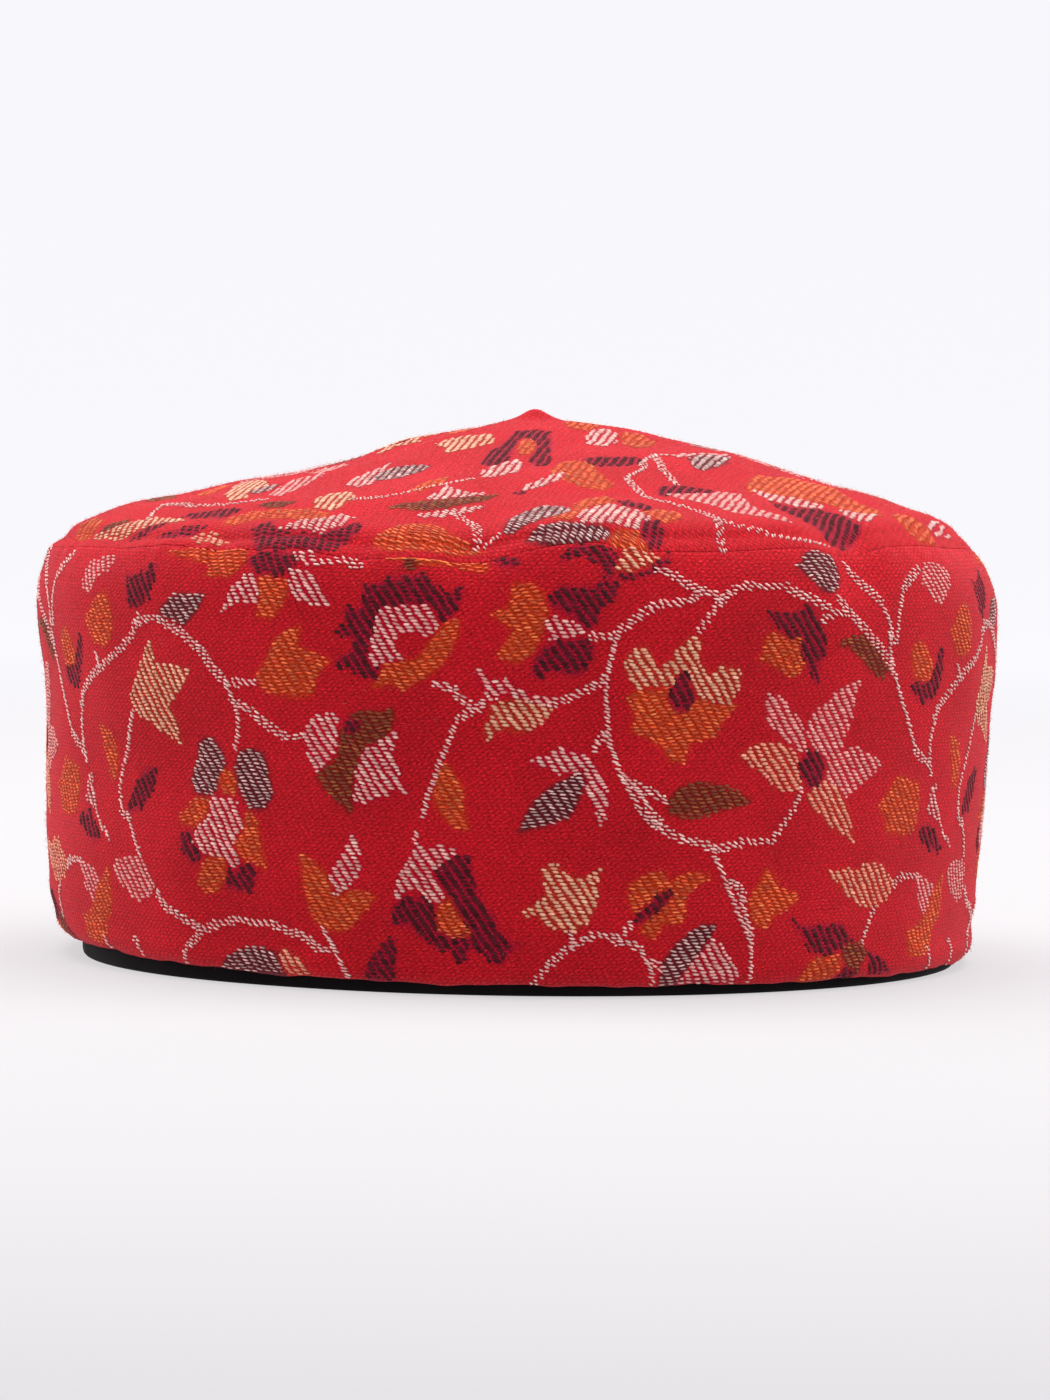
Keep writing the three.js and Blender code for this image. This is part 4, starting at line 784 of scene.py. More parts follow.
def set_colour(ob, name, per_vertex):
    att = ob.data.color_attributes.new(name=name, type="FLOAT_COLOR", domain="POINT")
    rgba = np.ones((len(ob.data.vertices), 4), np.float32)
    rgba[:, :3] = per_vertex
    att.data.foreach_set("color", rgba.ravel())


def tint(codes):
    """mean ground colour (linear) of several looked-up places, codes is (places, samples)"""
    table = np.zeros((256, 3))
    for code, colour in GROUND.items():
        table[code] = linear(colour)
    return table[codes].mean(1)


COLUMNS = 648
AT = np.arange(COLUMNS) * 360.0 / COLUMNS


def rings_to_mesh(name, rings, closed, uv_rows, uv_cols, bake_rows):
    """rings: list of (COLUMNS, 3); uv_rows(j) gives the cloth coordinates of each ring's vertices, bake_rows the bake's v"""
    n, m = COLUMNS, len(rings)
    verts = np.vstack(rings)
    count = m if closed else m - 1
    j = np.repeat(np.arange(count), n)
    i = np.tile(np.arange(n), count)
    a, b = j * n + i, j * n + (i + 1) % n
    c, d = ((j + 1) % m) * n + (i + 1) % n, ((j + 1) % m) * n + i
    ob = make_mesh(name, verts, np.stack([a, b, c, d], 1))
    wrap_i = np.stack([i, i + 1, i + 1, i], 1)
    wrap_j = np.stack([j, j, j + 1, j + 1], 1)
    set_uv(ob, "OFBake", np.stack([wrap_i / n * 0.996 + 0.002, np.take(np.append(bake_rows, 1.0), wrap_j)], -1).reshape(-1, 2))
    cloth = uv_rows
    u = np.take(np.vstack([cloth, cloth[:1]]).reshape(-1, 2), (wrap_j * n + wrap_i % n).ravel(), axis=0).reshape(-1, 4, 2)
    if uv_cols:      # the coordinate round the cap runs on past the last column
        u[..., 0] += np.where(wrap_i == n, uv_cols, 0)
    set_uv(ob, "cloth", u.reshape(-1, 2))
    ob.data.uv_layers["OFBake"].active = True
    return ob


def offset_ring(t, depth, along=0.0):
    r, z, nr, nz = surface(AT, t)
    return place(AT, r - depth * nr - along * nz, z - depth * nz + along * nr)


# ---- side band
rad = np.radians(AT)
# radius of the turned edges at the top seam: drawn tight in some places, open in others
LIP = SEAM_LIP + 0.15 * np.exp(-((np.where(AT > 180, AT - 360, AT) + 28) / 17) ** 2) + 0.045 * np.sin(5 * rad + 0.6) + 0.025 * np.sin(11 * rad + 2.0) + 0.01 * np.sin(29 * rad)
EDGE0 = T_SEAM - SEAM_GAP / 2 - SEAM_LIP
edge = T_SEAM - SEAM_GAP / 2 - LIP
rows_t = list(np.linspace(0, 6, 9)[:-1]) + list(np.linspace(6, EDGE0 - 2.4, 84)[:-1])
rows_t += [EDGE0 - 2.4 + 2.4 * k + (edge - EDGE0) * k for k in np.linspace(0, 1, 6)]
rings, coords, bake_v = [], [], []
x_cloth = np.where(AT > 180, AT - 360, AT) * math.pi / 180 * BAND_R
x_run = AT * math.pi / 180 * BAND_R
# the turned hem is pressed by hand and not quite straight
HEM_WAVE = 0.15 * np.sin(17 * rad + 1.0) + 0.11 * np.sin(31 * rad + 2.2) + 0.08 * np.sin(53 * rad) + 0.05 * np.sin(88 * rad + 4)
for t in rows_t:
    p = offset_ring(t, 0)
    p[:, 2] += HEM_WAVE * np.clip(1 - t / 3.0, 0, 1)
    rings.append(p)
    coords.append(np.stack([x_run, p[:, 2]], 1))
    bake_v.append(0.02 + 0.78 * float(np.mean(t)) / T_SEAM)
outer_rows = len(rings)
for k, a in enumerate((28, 55, 82, 110, 140)):      # the turned top edge
    ca, sa = math.cos(math.radians(a)), math.sin(math.radians(a))
    rings.append(offset_ring(edge, LIP * (1 - ca), LIP * sa))
    coords.append(coords[outer_rows - 1] + (0, 0.3 * (k + 1)))
    bake_v.append(0.81 + 0.01 * k)
wall_at = lambda t: np.interp(t, knot_t[: len(wall_knots)], wall_knots)
for k, t in enumerate(np.linspace(EDGE0, 3.0, 14)):
    rings.append(offset_ring(t, float(wall_at(t))))
    coords.append(np.stack([x_run, rings[-1][:, 2]], 1))
    bake_v.append(0.86 + 0.01 * k)
r0, z0, _, _ = surface(AT, 0.0)
rings.append(place(AT, r0 - 1.5, z0 + 0.35 + HEM_WAVE))
coords.append(np.stack([x_run, rings[-1][:, 2]], 1))
bake_v.append(0.995)
band = rings_to_mesh("side_band_cloth", rings, True, np.array(coords), 2 * math.pi * BAND_R, np.array(bake_v))

grid = np.array(rings)
offs = [(0, 0), (0.4, 0.1), (-0.4, -0.1), (0.1, 0.35), (-0.1, -0.35)]
xg = np.tile(x_cloth, (len(rings), 1))
codes = np.stack([band_lookup(xg + dx, grid[..., 2] + dz) for dx, dz in offs], -1)
codes[outer_rows + 3:] = 0
colours = tint(codes.reshape(-1, len(offs)))
set_colour(band, "ground", colours)

# ---- crown
EDGE_C0 = T_SEAM + SEAM_GAP / 2 + SEAM_LIP
edge_c = T_SEAM + SEAM_GAP / 2 + LIP
rows_c = [EDGE_C0 + 2.4 * k + (edge_c - EDGE_C0) * (1 - k) for k in np.linspace(0, 1, 6)[:-1]]
rows_c += list(np.linspace(EDGE_C0 + 2.4, EDGE_C0 + 7, 11)[:-1]) + list(np.linspace(EDGE_C0 + 7, T_END - 6, 80)[:-1]) + list(np.linspace(T_END - 6, T_END - 0.25, 8))
rings, coords, bake_v = [], [], []


def crown_coords(p):
    u, v = to_cloth(p[:, 0], p[:, 1])
    return np.stack([u, v], 1)


for k, t in enumerate(np.linspace(T_END - 8, EDGE_C0, 13)):     # inside
    p = offset_ring(t, CLOTH)
    rings.append(p)
    coords.append(crown_coords(p))
    bake_v.append(0.02 + 0.012 * k)
for k, a in enumerate((140, 110, 82, 55, 28)):
    ca, sa = math.cos(math.radians(a)), math.sin(math.radians(a))
    p = offset_ring(edge_c, LIP * (1 - ca), -LIP * sa)
    rings.append(p)
    coords.append(crown_coords(p))
    bake_v.append(0.18 + 0.01 * k)
first_outer = len(rings)
for t in rows_c:
    p = offset_ring(t, 0)
    rings.append(p)
    coords.append(crown_coords(p))
    bake_v.append(0.24 + 0.74 * (float(np.mean(t)) - T_SEAM) / (T_END - T_SEAM))
crown = rings_to_mesh("crown_cloth", rings, False, np.array(coords), 0, np.array(bake_v))


def close_poles(ob):
    """closes the two holes at the crown's middle with one point each"""
    bm = bmesh.new()
    bm.from_mesh(ob.data)
    bm.verts.ensure_lookup_table()
    n = COLUMNS
    last = (len(rings) - 1) * n
    uvs = [bm.loops.layers.uv["OFBake"], bm.loops.layers.uv["cloth"]]
    ends = [([bm.verts[start + i] for i in range(n)], flip) for start, flip in ((0, True), (last, False))]
    for ring, flip in ends:
        middle = Vector((0, 0, 0))
        for v in ring:
            middle += v.co
        hub = bm.verts.new(middle / n)
        for i in range(n):
            a, b = ring[i], ring[(i + 1) % n]
            f = bm.faces.new((b, a, hub) if flip else (a, b, hub))
            f.smooth = True
            for loop in f.loops:
                loop[uvs[0]].uv = ((i + 0.5) / n, 0.012 if flip else 0.99)
                u, v = to_cloth(loop.vert.co.x * 1000, loop.vert.co.y * 1000)
                loop[uvs[1]].uv = (u, v)
    bm.to_mesh(ob.data)
    bm.free()


close_poles(crown)
TRIANGLES["crown_cloth"] += 2 * COLUMNS
co = np.zeros(len(crown.data.vertices) * 3, np.float32)
crown.data.vertices.foreach_get("co", co)
co = co.reshape(-1, 3) * 1000
codes = np.stack([crown_chart.at(co[:, 0] + dx, co[:, 1] + dy) for dx, dy in offs], -1)
codes[: first_outer * COLUMNS - 3 * COLUMNS] = 0
set_colour(crown, "ground", tint(codes))

# ---- black facing: a soft rolled foot on the ground, pile inside
rings, bake_v = [], []


def wall_inside(t):
    r, z, nr, nz = surface(AT, t, fine=False)
    return r - float(wall_at(t)), z


r1, z1 = wall_inside(knot_t[1])
wave = 0.05 * np.sin(np.radians(AT) * 23 + 1) + 0.04 * np.sin(np.radians(AT) * 41)
foot = r1 - PIECE_GAP - 1.7 * np.exp(-((np.where(AT > 180, AT - 360, AT) + 92) / 24) ** 2)
section = [(foot - FACING_EDGE_IN - 0.15, 0.0), (foot - FACING_EDGE_IN + 0.18, 0.10), (foot - 0.18, 0.42), (foot - 0.03, 0.95), (foot, 1.7), (foot + 0.02, 2.5)]
for r, z in section:
    rings.append(place(AT, r + wave * min(1, z), np.full(COLUMNS, z) + (0 if z == 0 else 1) * wave * 0.5 * min(1, z)))
inside = []
for k in (1, 2, 3, 5, 7):
    r, z = wall_inside(knot_t[k])
    rings.append(place(AT, r - PIECE_GAP, z + 0.35))
    inside.append(place(AT, r - PIECE_GAP - FACING, z + 0.1))
top = place(AT, r - PIECE_GAP - FACING / 2, z + 0.85)
rings.append(top)
rings += inside[::-1]
for r, z in [(foot - FACING, 1.4), (foot - FACING - 0.02, 0.6), (foot - FACING + 0.1, 0.15), (foot - FACING + 0.35, 0.0)]:
    rings.append(place(AT, r, np.full(COLUMNS, z)))
m = len(rings)
plain = np.array([np.stack([x_run, np.full(COLUMNS, k * 1.0)], 1) for k in range(m)])
facing = rings_to_mesh("inner_band_pile", rings, True, plain, 2 * math.pi * BAND_R, np.linspace(0.01, 0.95, m))

# ---- floats
TEMPLATE = [(-1.0, 0.0, -0.40)]
for s_ in (-0.41, 0.41):
    TEMPLATE += [(s_, -1.0, 0.0), (s_, -0.50, 1.0), (s_, 0.50, 1.0), (s_, 1.0, 0.0)]
TEMPLATE.append((1.0, 0.0, -0.40))
TEMPLATE = np.array(TEMPLATE)
# share of the thread's own colour at each point; the rest is the shadow it lies in
OWN = np.array([0.22] + [0.10, 0.92, 1.0, 0.34] * 2 + [0.22])
FACES = [(0, 2, 1), (0, 3, 2), (0, 4, 3), (0, 1, 4), (9, 5, 6), (9, 6, 7), (9, 7, 8), (9, 8, 5)]
for k in range(4):
    a, b = 1 + k, 1 + (k + 1) % 4
    FACES += [(a, b, b + 4), (a, b + 4, a + 4)]
FACES = np.array(FACES)
SHADOW = {
    "W": (0.46, 0.05, 0.10), "P": (0.56, 0.10, 0.13), "C": (0.48, 0.11, 0.07), "S": (0.54, 0.11, 0.09),
    "O": (0.60, 0.15, 0.06), "V": (0.32, 0.08, 0.05), "G": (0.24, 0.08, 0.10), "M": (0.24, 0.06, 0.09), "T": (0.46, 0.05, 0.10),
}


def float_piece(name, p, n, d, length, bright, colour_of, rand, mat, full=1.0, flat=1.0):
    """one mesh of many small lens-shaped floats: p places, n normals, d directions"""
    spec, shades = LATTICE[colour_of], SHADES[colour_of]
    count, corners = len(p), len(TEMPLATE)
    side = np.cross(n, d)
    half_l = (length / 2)[:, None, None]
    thick = (spec["thick"] * full / 2 * rand.uniform(0.84, 1.14, count))[:, None, None]
    high = (spec["high"] * flat * rand.uniform(0.75, 1.25, count))[:, None, None]
    t = TEMPLATE[None]
    verts = (p[:, None] + n[:, None] * 0.015 + d[:, None] * t[..., 0:1] * half_l
             + side[:, None] * t[..., 1:2] * thick + n[:, None] * t[..., 2:3] * high)
    faces = (FACES[None] + (np.arange(count) * corners)[:, None, None]).reshape(-1, 3)
    ob = make_mesh(name, verts.reshape(-1, 3), faces)
    mix = rand.dirichlet((1.2, 0.8, 0.8), count)
    colour = mix @ np.array([linear(s) for s in shades]) * bright[:, None]
    own = np.clip(OWN[None, :] * rand.uniform(0.85, 1.12, (count, corners)), 0, 1)[..., None]
    if colour_of == "M":
        own = 0.65 + 0.35 * own
    per_vertex = colour[:, None] * own + linear(SHADOW[colour_of])[None, None] * (1 - own)
    set_colour(ob, "thread", np.clip(per_vertex.reshape(-1, 3), 0, 1))
    grid_n = int(math.ceil(math.sqrt(count)))
    cx, cy = (np.arange(count) % grid_n), (np.arange(count) // grid_n)
    uv = np.stack([(cx[:, None] + 0.5 + TEMPLATE[None, :, 0] * 0.38) / grid_n,
                   (cy[:, None] + 0.5 + TEMPLATE[None, :, 1] * 0.38) / grid_n], -1).reshape(-1, 2)
    set_uv(ob, "OFBake", uv[faces.ravel()])
    along = np.stack([TEMPLATE[None, :, 0] * (length / 2)[:, None] + np.arange(count)[:, None] * 3.7,
                      TEMPLATE[None, :, 1] * 0.2 + np.arange(count)[:, None] * 0.9], -1).reshape(-1, 2)
    set_uv(ob, "yarn", along[faces.ravel()])
    ob.data.uv_layers["OFBake"].active = True
    ob.data.materials.append(mat)
    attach(ob, "root")
    return ob


# ------------------------------------------------------------------ materials
def new_material(name):
    mat = bpy.data.materials.new(name)
    mat.use_nodes = True
    nt = mat.node_tree
    nt.nodes.clear()
    out = nt.nodes.new("ShaderNodeOutputMaterial")
    bsdf = nt.nodes.new("ShaderNodeBsdfPrincipled")
    nt.links.new(bsdf.outputs[0], out.inputs[0])
    return mat, nt, bsdf


class Maths:
    def __init__(self, nt):
        self.nt = nt

    def __call__(self, op, *values):
        node = self.nt.nodes.new("ShaderNodeMath")
        node.operation = op
        for k, v in enumerate(values):
            if isinstance(v, (int, float)):
                node.inputs[k].default_value = v
            else:
                self.nt.links.new(v, node.inputs[k])
        return node.outputs[0]


def cloth_material(name, painted_shade_gain, sheen, sheen_tint):
    """red ground: small beads of twisted wool in a plain weave, uneven in tone, on top of the charted tint"""
    mat, nt, bsdf = new_material(name)
    f = Maths(nt)
    link = nt.links.new
    uv = nt.nodes.new("ShaderNodeUVMap")
    uv.uv_map = "cloth"
    drift = nt.nodes.new("ShaderNodeTexNoise")
    drift.inputs["Scale"].default_value = 0.35
    drift.inputs["Detail"].default_value = 3
    link(uv.outputs[0], drift.inputs["Vector"])
    sep_d = nt.nodes.new("ShaderNodeSeparateColor")
    link(drift.outputs["Color"], sep_d.inputs[0])
    sep = nt.nodes.new("ShaderNodeSeparateXYZ")
    link(uv.outputs[0], sep.inputs[0])
    u = f("ADD", sep.outputs[0], f("MULTIPLY", sep_d.outputs[0], 1.1))
    v = f("ADD", sep.outputs[1], f("MULTIPLY", sep_d.outputs[1], 0.8))
    curl = nt.nodes.new("ShaderNodeTexNoise")
    curl.inputs["Scale"].default_value = 1.3
    curl.inputs["Detail"].default_value = 2
    link(uv.outputs[0], curl.inputs["Vector"])
    sep_c = nt.nodes.new("ShaderNodeSeparateColor")
    link(curl.outputs["Color"], sep_c.inputs[0])
    u = f("ADD", u, f("MULTIPLY", sep_c.outputs[0], 0.90))
    v = f("ADD", v, f("MULTIPLY", sep_c.outputs[1], 0.46))

    def wave(per_u, per_v, sharp):
        turn = f("ADD", f("MULTIPLY", u, per_u * 2 * math.pi), f("MULTIPLY", v, per_v * 2 * math.pi))
        return f("MULTIPLY", f("COSINE", turn), sharp)

    # three waves whose crests meet on the weave's own grid of beads
    weave = f("ADD", f("ADD", wave(-0.735, 0.985, 0.42), wave(0.0, 1.45, 0.33)), wave(0.735, 0.465, 0.25))
    ids = nt.nodes.new("ShaderNodeCombineXYZ")
    link(f("FLOOR", f("MULTIPLY", u, 1.47)), ids.inputs[0])
    link(f("FLOOR", f("MULTIPLY", v, 2.9)), ids.inputs[1])
    white = nt.nodes.new("ShaderNodeTexWhiteNoise")
    white.noise_dimensions = "2D"
    link(ids.outputs[0], white.inputs["Vector"])
    patch = nt.nodes.new("ShaderNodeTexNoise")
    patch.inputs["Scale"].default_value = 0.05
    patch.inputs["Detail"].default_value = 4
    link(uv.outputs[0], patch.inputs["Vector"])
    stretch = nt.nodes.new("ShaderNodeMapping")
    stretch.inputs["Scale"].default_value = (1.9, 3.7, 1.0)
    stretch.inputs["Rotation"].default_value = (0, 0, math.radians(12))
    link(uv.outputs[0], stretch.inputs[0])
    fibre = nt.nodes.new("ShaderNodeTexNoise")
    fibre.inputs["Scale"].default_value = 1.0
    fibre.inputs["Detail"].default_value = 3
    fibre.inputs["Roughness"].default_value = 0.6
    link(stretch.outputs[0], fibre.inputs["Vector"])

    # painted shade: the beads are painted lighter where the weave's bump rises and darker in the gaps between them
    tone = f("ADD", 0.95, f("MULTIPLY", weave, 0.37))
    tone = f("ADD", tone, f("MULTIPLY", f("SUBTRACT", fibre.outputs["Fac"], 0.5), 2.7))
    tone = f("MAXIMUM", tone, 0.22)
    tone = f("MULTIPLY", tone, f("ADD", 0.88, f("MULTIPLY", white.outputs["Value"], 0.24)))
    # the whole ground is scaled by the copy's gain, which on the crown's copy is painted shade
    tone = f("MULTIPLY", tone, f("ADD", 0.72 * painted_shade_gain, f("MULTIPLY", patch.outputs["Fac"], 0.56 * painted_shade_gain)))
    ground = nt.nodes.new("ShaderNodeVertexColor")
    ground.layer_name = "ground"
    scaled = nt.nodes.new("ShaderNodeVectorMath")
    scaled.operation = "SCALE"
    link(ground.outputs["Color"], scaled.inputs[0])
    link(tone, scaled.inputs["Scale"])
    # a few lighter threads lie on top, only on the crests of the beads: partly the wool's own lighter fibres, partly a
    # painted highlight there
    glint = f("MULTIPLY", f("GREATER_THAN", fibre.outputs["Fac"], 0.60), f("GREATER_THAN", weave, 0.35))
    fleck_and_glint = nt.nodes.new("ShaderNodeMix")
    fleck_and_glint.data_type = "RGBA"
    fleck_and_glint.blend_type = "ADD"
    link(f("MULTIPLY", glint, 0.17), fleck_and_glint.inputs[0])
    link(scaled.outputs[0], fleck_and_glint.inputs[6])
    fleck_and_glint.inputs[7].default_value = (*linear((0.62, 0.24, 0.27)), 1)
    link(fleck_and_glint.outputs[2], bsdf.inputs["Base Color"])

    height = f("ADD", f("MULTIPLY", weave, 0.5), f("MULTIPLY", fibre.outputs["Fac"], 0.8))
    bump = nt.nodes.new("ShaderNodeBump")
    bump.inputs["Strength"].default_value = 0.55
    bump.inputs["Distance"].default_value = 0.00016
    link(height, bump.inputs["Height"])
    link(bump.outputs[0], bsdf.inputs["Normal"])
    bsdf.inputs["Roughness"].default_value = 0.9
    bsdf.inputs["Specular IOR Level"].default_value = 0.07
    bsdf.inputs["Sheen Weight"].default_value = sheen
    bsdf.inputs["Sheen Roughness"].default_value = 0.5
    bsdf.inputs["Sheen Tint"].default_value = (*sheen_tint, 1)
    return mat


def thread_material(name, roughness, sheen):
    mat, nt, bsdf = new_material(name)
    f = Maths(nt)
    link = nt.links.new
    col = nt.nodes.new("ShaderNodeVertexColor")
    col.layer_name = "thread"
    uv = nt.nodes.new("ShaderNodeUVMap")
    uv.uv_map = "yarn"
    mapping = nt.nodes.new("ShaderNodeMapping")
    mapping.inputs["Scale"].default_value = (2.2, 14.0, 1.0)
    mapping.inputs["Rotation"].default_value = (0, 0, math.radians(16))
    link(uv.outputs[0], mapping.inputs[0])
    strands = nt.nodes.new("ShaderNodeTexNoise")
    strands.inputs["Scale"].default_value = 1.0
    strands.inputs["Detail"].default_value = 2
    link(mapping.outputs[0], strands.inputs["Vector"])
    tone = f("ADD", 0.80, f("MULTIPLY", strands.outputs["Fac"], 0.40))
    scaled = nt.nodes.new("ShaderNodeVectorMath")
    scaled.operation = "SCALE"
    link(col.outputs["Color"], scaled.inputs[0])
    link(tone, scaled.inputs["Scale"])
    link(scaled.outputs[0], bsdf.inputs["Base Color"])
    bump = nt.nodes.new("ShaderNodeBump")
    bump.inputs["Strength"].default_value = 0.5
    bump.inputs["Distance"].default_value = 0.00005
    link(strands.outputs["Fac"], bump.inputs["Height"])
    link(bump.outputs[0], bsdf.inputs["Normal"])
    bsdf.inputs["Roughness"].default_value = roughness
    bsdf.inputs["Specular IOR Level"].default_value = 0.14
    bsdf.inputs["Sheen Weight"].default_value = sheen
    bsdf.inputs["Sheen Roughness"].default_value = 0.4
    return mat


def pile_material(name):
    mat, nt, bsdf = new_material(name)
    f = Maths(nt)
    link = nt.links.new
    uv = nt.nodes.new("ShaderNodeUVMap")
    uv.uv_map = "cloth"
    noise = nt.nodes.new("ShaderNodeTexNoise")
    noise.inputs["Scale"].default_value = 3.2
    noise.inputs["Detail"].default_value = 4
    link(uv.outputs[0], noise.inputs["Vector"])
    slow = nt.nodes.new("ShaderNodeTexNoise")
    slow.inputs["Scale"].default_value = 0.06
    slow.inputs["Detail"].default_value = 3
    link(uv.outputs[0], slow.inputs["Vector"])
    ramp = nt.nodes.new("ShaderNodeValToRGB")
    ramp.color_ramp.elements[0].position = 0.35
    ramp.color_ramp.elements[0].color = (0.0018, 0.0015, 0.0020, 1)
    ramp.color_ramp.elements[1].position = 0.75
    ramp.color_ramp.elements[1].color = (0.0095, 0.0070, 0.0080, 1)
    link(f("ADD", f("MULTIPLY", noise.outputs["Fac"], 0.6), f("MULTIPLY", slow.outputs["Fac"], 0.4)), ramp.inputs[0])
    link(ramp.outputs[0], bsdf.inputs["Base Color"])
    bump = nt.nodes.new("ShaderNodeBump")
    bump.inputs["Strength"].default_value = 0.6
    bump.inputs["Distance"].default_value = 0.00015
    link(noise.outputs["Fac"], bump.inputs["Height"])
    link(bump.outputs[0], bsdf.inputs["Normal"])
    bsdf.inputs["Roughness"].default_value = 0.8
    bsdf.inputs["Specular IOR Level"].default_value = 0.06
    bsdf.inputs["Sheen Weight"].default_value = 0.03
    bsdf.inputs["Sheen Roughness"].default_value = 0.35
    return mat


# the crown's copy of the same red cloth is painted darker than the band's (0.88 against 0.98): painted shade against
# the stronger light on the top
band_cloth = cloth_material("red_cloth_band", 0.98, 0.24, (1.0, 0.26, 0.30))
crown_cloth = cloth_material("red_cloth_crown", 0.88, 0.12, (1.0, 0.40, 0.43))
band.data.materials.append(band_cloth)
crown.data.materials.append(crown_cloth)
facing.data.materials.append(pile_material("black_facing"))
for piece, node, slot in ((band, "side_band", "red_cloth_band"), (crown, "crown", "red_cloth_crown"), (facing, "inner_band", "black_facing")):
    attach(piece, "root")
    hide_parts(node)

THREADS = {
    "W": ("white", 0.62, 0.20), "T": ("stem", 0.62, 0.20), "P": ("pink", 0.66, 0.15), "C": ("cream", 0.64, 0.15), "S": ("salmon", 0.64, 0.15),
    "O": ("orange", 0.66, 0.10), "V": ("olive", 0.68, 0.10), "G": ("grey", 0.62, 0.12), "M": ("maroon", 0.85, 0.0),
}

# ---- floats of the band
rand = np.random.default_rng(5)
code, x, y, length, tilt, bright = [np.concatenate(v) for v in zip(
    figured(band_lookup, (-AROUND / 2, AROUND / 2, 1.6, 88.5), rand),
    stems([[(px + c * REPEAT, py) for px, py in line] for line in BAND_VINES for c in ALL], rand))]
x = np.mod(x + AROUND / 2, AROUND) - AROUND / 2
at = np.degrees(x / BAND_R)
t = solve_t(at, y, 0.0, T_SEAM, lambda a, s: surface(a, s)[1])
ok = (t > 0.5) & (t < EDGE0 + 0.15)
code, x, y, length, tilt, bright, at, t = [v[ok] for v in (code, x, y, length, tilt, bright, at, t)]
p, n, a, b = basis(at, t)
count_floats = len(code)
materials = {}
for colour, (word, rough, sheen) in THREADS.items():
    materials[colour] = thread_material(word + "_thread", rough, sheen)
for colour, (word, rough, sheen) in THREADS.items():
    sel = np.nonzero(code == CODES[colour])[0]
    if not len(sel):
        continue
    turn = np.radians(tilt[sel])[:, None]
    d = a[sel] * np.cos(turn) + b[sel] * np.sin(turn)
    parts = max(1, math.ceil(len(sel) * len(FACES) / 190000))
    for k, part in enumerate(np.array_split(np.arange(len(sel)), parts)):
        float_piece("band_%s_floats%s" % (word, "" if parts == 1 else "_%d" % (k + 1)), p[sel][part], n[sel][part], d[part],
                    length[sel][part], bright[sel][part], colour, rand, materials[colour])

# ---- floats of the crown
rand = np.random.default_rng(6)
lines = []
for turn in (1, -1):
    for line in CROWN_VINES:
        q = np.asarray(line, float) * turn
        pq = to_cloth(q[:, 0], q[:, 1])
        lines.append(np.stack(pq, 1))
code, pc, qc, length, tilt, bright = [np.concatenate(v) for v in zip(
    figured(crown_lookup, (-99, 99, -99, 99), rand), stems(lines, rand))]
xc, yc = from_cloth(pc, qc)
at = np.degrees(np.arctan2(xc, -yc))
radius = np.hypot(xc, yc)
t = solve_t(at, -radius, T_SEAM, T_END, lambda a_, s: -surface(a_, s)[0])
rim = surface(at, EDGE_C0 - 0.1)[0]
ok = (radius < rim) & (t > EDGE_C0 - 0.15) & (radius > 1.2)
code, length, tilt, bright, at, t = [v[ok] for v in (code, length, tilt, bright, at, t)]
p, n, a, b = basis(at, t)
count_floats += len(code)
for colour, (word, rough, sheen) in THREADS.items():
    sel = np.nonzero(code == CODES[colour])[0]
    if not len(sel):
        continue
    angle = CROWN_TURN + np.radians(tilt[sel])
    flat = np.stack([np.cos(angle), np.sin(angle), 0 * angle], 1)
    d = flat - n[sel] * (flat * n[sel]).sum(1)[:, None]
    d /= np.linalg.norm(d, axis=1)[:, None]
    # the crown's floats are painted darker than the band's (0.80): painted shade against the stronger light on the top
    float_piece("crown_%s_floats" % word, p[sel], n[sel], d, (1.0 if colour in "TM" else 1.14) * length[sel], 0.80 * bright[sel], colour, rand, materials[colour],
                1.0 if colour in "TM" else 1.22, 0.7)

# ---- loose wool standing off the cloth: slim closed spikes, one mesh per shade and piece
def wool_material(name, colour):
    mat, nt, bsdf = new_material(name)
    bsdf.inputs["Base Color"].default_value = (*linear(colour), 1)
    bsdf.inputs["Roughness"].default_value = 0.8
    bsdf.inputs["Specular IOR Level"].default_value = 0.1
    return mat


def wool_piece(name, at, t, rand, mat):
    p, n, a, b = basis(at, t)
    count = len(p)
    turn, lean = rand.uniform(0, 2 * math.pi, count)[:, None], np.radians(rand.uniform(4, 48, count))[:, None]
    flat = a * np.cos(turn) + b * np.sin(turn)
    d = flat * np.cos(lean) + n * np.sin(lean)
    side = np.cross(d, n)
    side /= np.linalg.norm(side, axis=1)[:, None]
    up = np.cross(side, d)
    long = rand.uniform(0.5, 1.7, count)[:, None]
    wide = rand.uniform(0.022, 0.040, count)[:, None]
    root = p - n * 0.04
    verts = np.stack([root + side * wide, root - side * wide * 0.5 + up * wide * 0.87,
                      root - side * wide * 0.5 - up * wide * 0.87, root + d * long], 1)
    faces = np.array([(0, 2, 1), (0, 1, 3), (1, 2, 3), (2, 0, 3)])
    faces = (faces[None] + (np.arange(count) * 4)[:, None, None]).reshape(-1, 3)
    ob = make_mesh(name, verts.reshape(-1, 3), faces)
    grid_n = int(math.ceil(math.sqrt(count)))
    cell = np.stack([np.arange(count) % grid_n, np.arange(count) // grid_n], 1)[:, None]
    uv = (cell + np.array([(0.2, 0.2), (0.8, 0.2), (0.2, 0.8), (0.8, 0.8)])[None]) / grid_n
    set_uv(ob, "OFBake", uv.reshape(-1, 2)[faces.ravel()])
    ob.data.materials.append(mat)
    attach(ob, "root")
    return ob


rand = np.random.default_rng(8)
